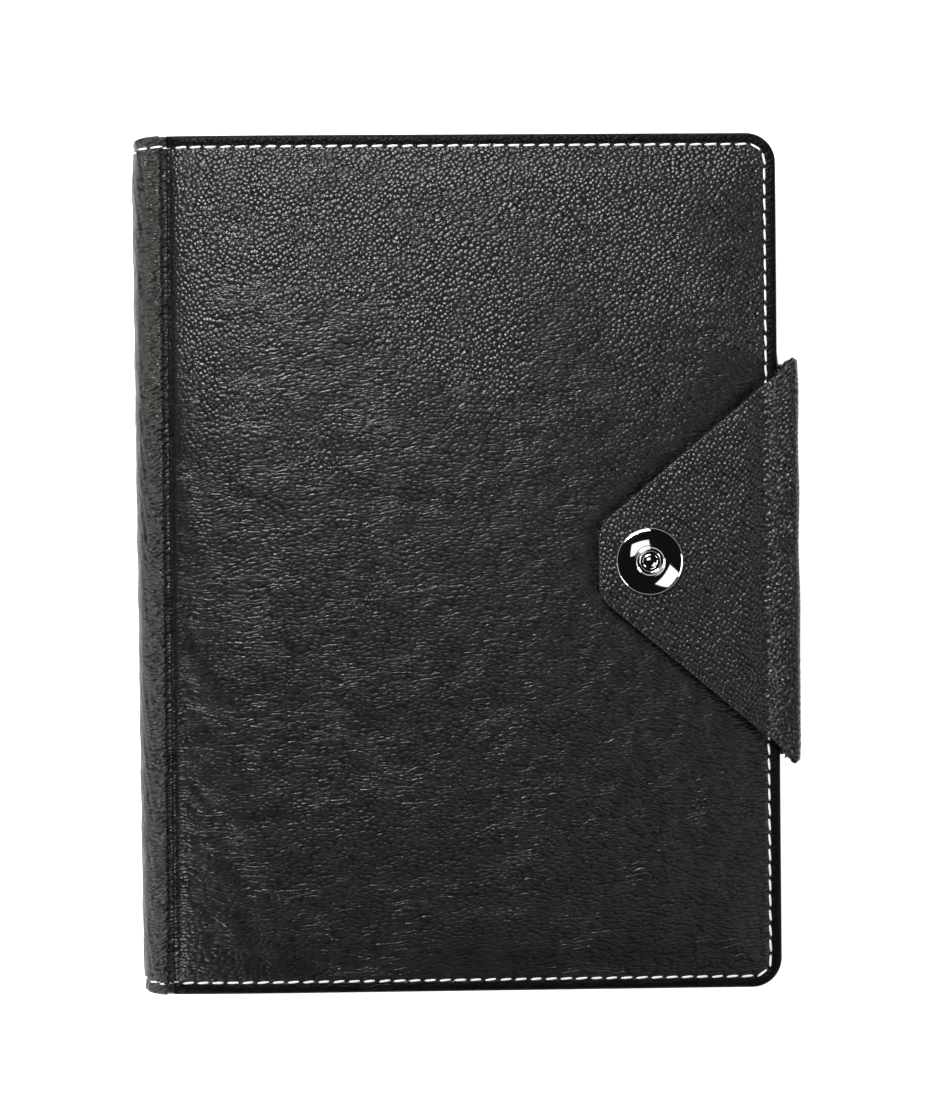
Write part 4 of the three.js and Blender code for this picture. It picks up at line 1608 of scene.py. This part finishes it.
@dataclass
class Inside:
    """The tan lining, the sleeves that hold the notebook's covers, and the card slots, all sewn down."""

    finishes: Finishes
    pitch: float = 3.2
    lining_inset: float = 2.1
    sleeve_inset: float = 1.4
    slot_inset: float = 1.6
    sleeve_drop: float = 0.85  # how far a sleeve's sewn edges dive to the lining
    ease: float = 3.0  # how far in from a sewn edge that goes on
    thread_radius: float = 0.2

    def sheet(
        self,
        node: str,
        side: Side,
        corner: float,
        drop: float,
        seed: int,
    ) -> tuple[bpy.types.Object, np.ndarray]:
        """A leather sheet in the place of a CAD slab, good side into the book.

        Its corners by the fore edge are arcs. Its face lies below the slab's by drop at the sewn
        edges, which eases out, by a rounded edge, and by soft waves.

        Args:
            node: the CAD node.
            side: which cover it is on.
            corner: radius at the fore edge.
            drop: how far the sewn edges dive.
            seed: of the waves.

        Returns:
            The sheet, and the slab's two corners.
        """
        low, high = (np.array(end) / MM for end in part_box(node))
        half, middle = (high[1] - low[1]) / 2.0, (high[1] + low[1]) / 2.0
        x = graded(low[0], high[0], 5.0, 0.5, 1.7)
        share = graded(-1.0, 1.0, 5.0 / half, 0.5 / half, 1.7 / half)
        into = np.clip(x - (high[0] - corner), 0.0, corner)
        reach = half - corner + np.sqrt(np.maximum(corner**2 - into**2, 0.0))
        x, y = x[:, None] + 0.0 * share, reach[:, None] * share
        sewn = np.minimum(high[0] - x, reach[:, None] - np.abs(y))
        edge = np.minimum(sewn, x - low[0])
        relief = drop * (1.0 - smoothstep(0.0, self.ease, sewn)) + 0.12 * (1.0 - smoothstep(0.0, 0.8, edge))
        soft = 1.0 + np.clip(waves(x, y, 30.0, 8, seed), -1.0, 1.0)
        relief = relief + 0.06 * soft * smoothstep(2.0, 9.0, edge)
        up = side is Side.BACK
        z = high[2] - relief if up else low[2] + relief
        face = np.stack([x, y + middle, z], axis=-1)
        thickness = min(0.6, 0.75 * (high[2] - low[2]))
        face = face if up else face[:, ::-1]
        sheet = thick_sheet(face, thickness).build(f"{node}_sheet", [self.finishes.tan])
        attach(sheet, f"{side.value}_cover")
        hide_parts(node)
        return sheet, np.array([low, high])

    def sewing(self, name: str, side: Side, corners: list[Pair], z: float) -> bpy.types.Object:
        """Tan stitches along a line of straight runs.

        Args:
            name: the piece's name.
            side: which cover it is on.
            corners: the line's x and y.
            z: the height it lies at.

        Returns:
            The thread.
        """
        line = np.array(corners)
        length = np.concatenate([[0.0], np.cumsum(np.hypot(*np.diff(line, axis=0).T))])
        count = int(length[-1] / self.pitch)
        at = (np.arange(count) + 0.5) * length[-1] / count
        place, ahead, behind = (
            np.stack([np.interp(at + step, length, line[:, k]) for k in (0, 1)], axis=1)
            for step in (0.0, 0.05, -0.05)
        )
        along = np.concatenate([ahead - behind, np.zeros((count, 1))], axis=1)
        along /= np.linalg.norm(along, axis=1, keepdims=True)
        point = np.concatenate([place, np.full((count, 1), z)], axis=1)
        normal = np.zeros((count, 3)) + [0.0, 0.0, 1.0 if side is Side.BACK else -1.0]
        slant = np.full(count, 0.08)
        half = np.full(count, 0.38 * self.pitch)
        data = stitches(point, along, normal, slant, half, self.thread_radius)
        thread = data.build(name, [self.finishes.tan_thread])
        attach(thread, f"{side.value}_cover")
        return thread

    def build(self) -> list[bpy.types.Object]:
        """Make the sheets and the sewing of both covers.

        Returns:
            The pieces.
        """
        pieces = []
        for number, side in enumerate(Side):
            name = side.value
            lining, box = self.sheet(f"{name}_lining", side, 7.0, 0.0, 41 + number)
            line = self.round_three_sides(box, self.lining_inset, 8.0, 4.0)
            z = self.under(box, side, 0.08)
            pieces += [lining, self.sewing(f"{name}_lining_thread", side, line, z)]
            sleeve, box = self.sheet(f"{name}_pocket", side, 2.5, self.sleeve_drop, 51 + number)
            line = self.round_three_sides(box, self.sleeve_inset, 0.6, 1.0)
            dive = 1.0 - float(smoothstep(0.0, self.ease, np.array(self.sleeve_inset)))
            z = self.under(box, side, self.sleeve_drop * dive + 0.03)
            pieces += [sleeve, self.sewing(f"{name}_pocket_thread", side, line, z)]
        for number in (1, 2, 3):
            slot, box = self.sheet(f"card_slot_{number}", Side.FRONT, 0.6, 0.0, 60 + number)
            left, right = box[0][0] + self.slot_inset, box[1][0] - self.slot_inset
            foot, top = box[0][1] + self.slot_inset, box[1][1] - 0.5
            line = [(left, top), (left, foot), (right, foot), (right, top)]
            z = self.under(box, Side.FRONT, 0.05)
            pieces += [slot, self.sewing(f"card_slot_{number}_thread", Side.FRONT, line, z)]
        return pieces

    def round_three_sides(self, box: np.ndarray, inset: float, start: float, cut: float) -> list[Pair]:
        """A seam along the tail, the fore edge and the head of a slab, with its corners cut off.

        Args:
            box: the slab's two corners.
            inset: mm in from the edges.
            start: mm from the slab's spine side to the seam's ends.
            cut: mm cut off each corner.

        Returns:
            The seam's x and y.
        """
        x, y = box[1][0] - inset, box[1][1] - inset
        ends = box[0][0] + start
        return [(ends, -y), (x - cut, -y), (x, cut - y), (x, y - cut), (x - cut, y), (ends, y)]

    def under(self, box: np.ndarray, side: Side, depth: float) -> float:
        """The height of a line depth mm below a slab's good side."""
        return box[1][2] - depth if side is Side.BACK else box[0][2] + depth


@dataclass
class PenLoop:
    """A tan leather strap folded into a loop and sewn to the back lining."""

    finishes: Finishes
    thickness: float = 0.9
    pushed: float = 2.0  # how far the loop's tail end is pushed out past the cover's edge

    def build(self) -> list[bpy.types.Object]:
        """Carry the strap's path, a flat tab and a circle, along the spine's direction.

        Returns:
            The piece.
        """
        low, high = (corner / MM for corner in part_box("pen_loop"))
        radius = (high.z - low.z) / 2.0
        centre = (high.x - radius, low.z + radius)
        angle = np.linspace(-math.pi / 2.0, 1.4 * math.pi, 72)
        ring = np.stack([centre[0] + radius * np.cos(angle), centre[1] + radius * np.sin(angle)], axis=1)
        tab = np.stack([np.linspace(low.x, centre[0] - 0.4, 12), np.full(12, low.z)], axis=1)
        path = np.concatenate([tab, ring])
        y = graded(low.y, high.y, 1.5, 0.4, 1.2)
        pushed = self.pushed * smoothstep(high.y + 1.0, low.y, y)
        pushed = pushed * smoothstep(low.x + 4.0, centre[0], path[:, :1])
        face = np.stack([
            path[:, :1] + pushed,
            y + 0.0 * path[:, :1],
            path[:, 1:] + 0.0 * y,
        ], axis=-1)
        loop = thick_sheet(face[:, ::-1], self.thickness).build("pen_loop_strap", [self.finishes.tan])
        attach(loop, "back_cover")
        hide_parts("pen_loop")
        return [loop]


# --- Studio -------------------------------------------------------------------------------------


@dataclass
class Studio:
    """A white floor, soft panels of light and the camera above the book."""

    height: float = 1000.0
    stand: Pair = (-38.1, 8.7)
    tilt: tuple[float, float, float] = (-0.381, -2.201, -0.515)  # degrees about X, Y and Z
    face: float = 25.0  # height of the cover's face
    view: float = 251.892  # width of what the camera sees at that height
    floor_half: float = 4000.0
    floor_glow: float = 0.85
    horizon: float = 0.85
    sky: float = 0.006

    def build(self) -> None:
        """Make the floor, the world, the lights and the camera."""
        self.camera()
        self.floor()
        self.world()
        self.panel("near_panel", (-102.0, 295.0, 350.0), (120.0, 100.0), 39.0)
        self.panel("key_panel", (-80.0, 330.0, 330.0), (340.0, 170.0), 3.1)
        self.panel("window_panel", (-20.0, 190.0, 1000.0), (300.0, 230.0), 1.12)
        self.panel("chrome_panel", (330.0, -210.0, 560.0), (250.0, 310.0), 1.15)
        self.panel("left_panel", (-560.0, -260.0, 90.0), (420.0, 130.0), 1.5)
        self.panel("ridge_panel", (-330.0, -320.0, 300.0), (180.0, 110.0), 15.0)
        self.panel("right_panel", (450.0, -60.0, 300.0), (260.0, 100.0), 4.2)

    def camera(self) -> None:
        """Place the camera, with a lens that takes in the view's width at the cover's face."""
        data = bpy.data.cameras.new("camera")
        data.sensor_width = 36.0
        data.sensor_fit = "HORIZONTAL"
        data.lens = data.sensor_width * (self.height - self.face) / self.view
        data.clip_end = 20.0
        data.clip_start = 0.01
        camera = bpy.data.objects.new("camera", data)
        camera.location = Vector((*self.stand, self.height)) * MM
        camera.rotation_euler = Euler([math.radians(angle) for angle in self.tilt], "XYZ")
        bpy.context.scene.collection.objects.link(camera)
        bpy.context.scene.camera = camera

    def floor(self) -> None:
        """A white sheet that the book lies on."""
        half = self.floor_half
        data = MeshData()
        corners = [[-half, -half, -0.4], [half, -half, -0.4], [half, half, -0.4], [-half, half, -0.4]]
        data.add(corners, (np.array([[0, 1, 2, 3]]), 0))
        g = Graph("white_floor")
        sheet = data.build("floor", [g.finish({
            "Base Color": linear("FFFFFF"),
            "Roughness": 0.9,
            "Emission Color": linear("FFFFFF"),
            "Emission Strength": self.floor_glow,
        }, {})])

    def world(self) -> None:
        """A pale horizon under a dark sky, so that chrome has something dark to show."""
        world = bpy.data.worlds.new("studio")
        world.use_nodes = True
        bpy.context.scene.world = world
        tree = world.node_tree
        place = tree.nodes.new("ShaderNodeTexCoord")
        split = tree.nodes.new("ShaderNodeSeparateXYZ")
        tree.links.new(place.outputs["Generated"], split.inputs[0])
        ramp = tree.nodes.new("ShaderNodeMapRange")
        ramp.inputs[1].default_value = 0.12
        ramp.inputs[2].default_value = 0.42
        ramp.inputs[3].default_value = self.horizon
        ramp.inputs[4].default_value = self.sky
        tree.links.new(split.outputs[2], ramp.inputs[0])
        tree.links.new(ramp.outputs[0], tree.nodes["Background"].inputs["Strength"])
        tree.nodes["Background"].inputs["Color"].default_value = (1.0, 1.0, 1.0, 1.0)

    def panel(self, name: str, place: tuple, size: tuple, radiance: float) -> None:
        """A rectangular soft light aimed at the book.

        Args:
            name: its name.
            place: its middle, mm.
            size: its width and height, mm.
            radiance: brightness of its face.
        """
        data = bpy.data.lights.new(name, "AREA")
        data.shape = "RECTANGLE"
        data.size = size[0] * MM
        data.size_y = size[1] * MM
        data.energy = radiance * math.pi * data.size * data.size_y
        light = bpy.data.objects.new(name, data)
        light.location = Vector(place) * MM
        light.rotation_euler = (-light.location).to_track_quat("-Z", "Y").to_euler()
        bpy.context.scene.collection.objects.link(light)


def main() -> None:
    """Build every sub-assembly in order and report each piece."""
    logging.basicConfig(level=logging.INFO, format="%(message)s")
    Studio().build()
    finishes = Finishes()
    finishes.dress_nodes()
    flap = Flap(finishes)
    front = CaseHalf(Side.FRONT, finishes, flap=flap)
    back = CaseHalf(Side.BACK, finishes, crown=0.75, seed=31)
    core = SpineCore(finishes, front.lean)
    for part in (front, back, core, flap, Snap(finishes), Inside(finishes), PenLoop(finishes)):
        for piece in part.build():
            LOG.info("%s: %d faces", piece.name, len(piece.data.polygons))
    for half in (front, back):
        name = half.side.value
        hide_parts(f"{name}_cover_leather")
    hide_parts("spine_leather")
    bpy.context.scene.view_settings.view_transform = "Standard"


if __name__ == "__main__":
    main()
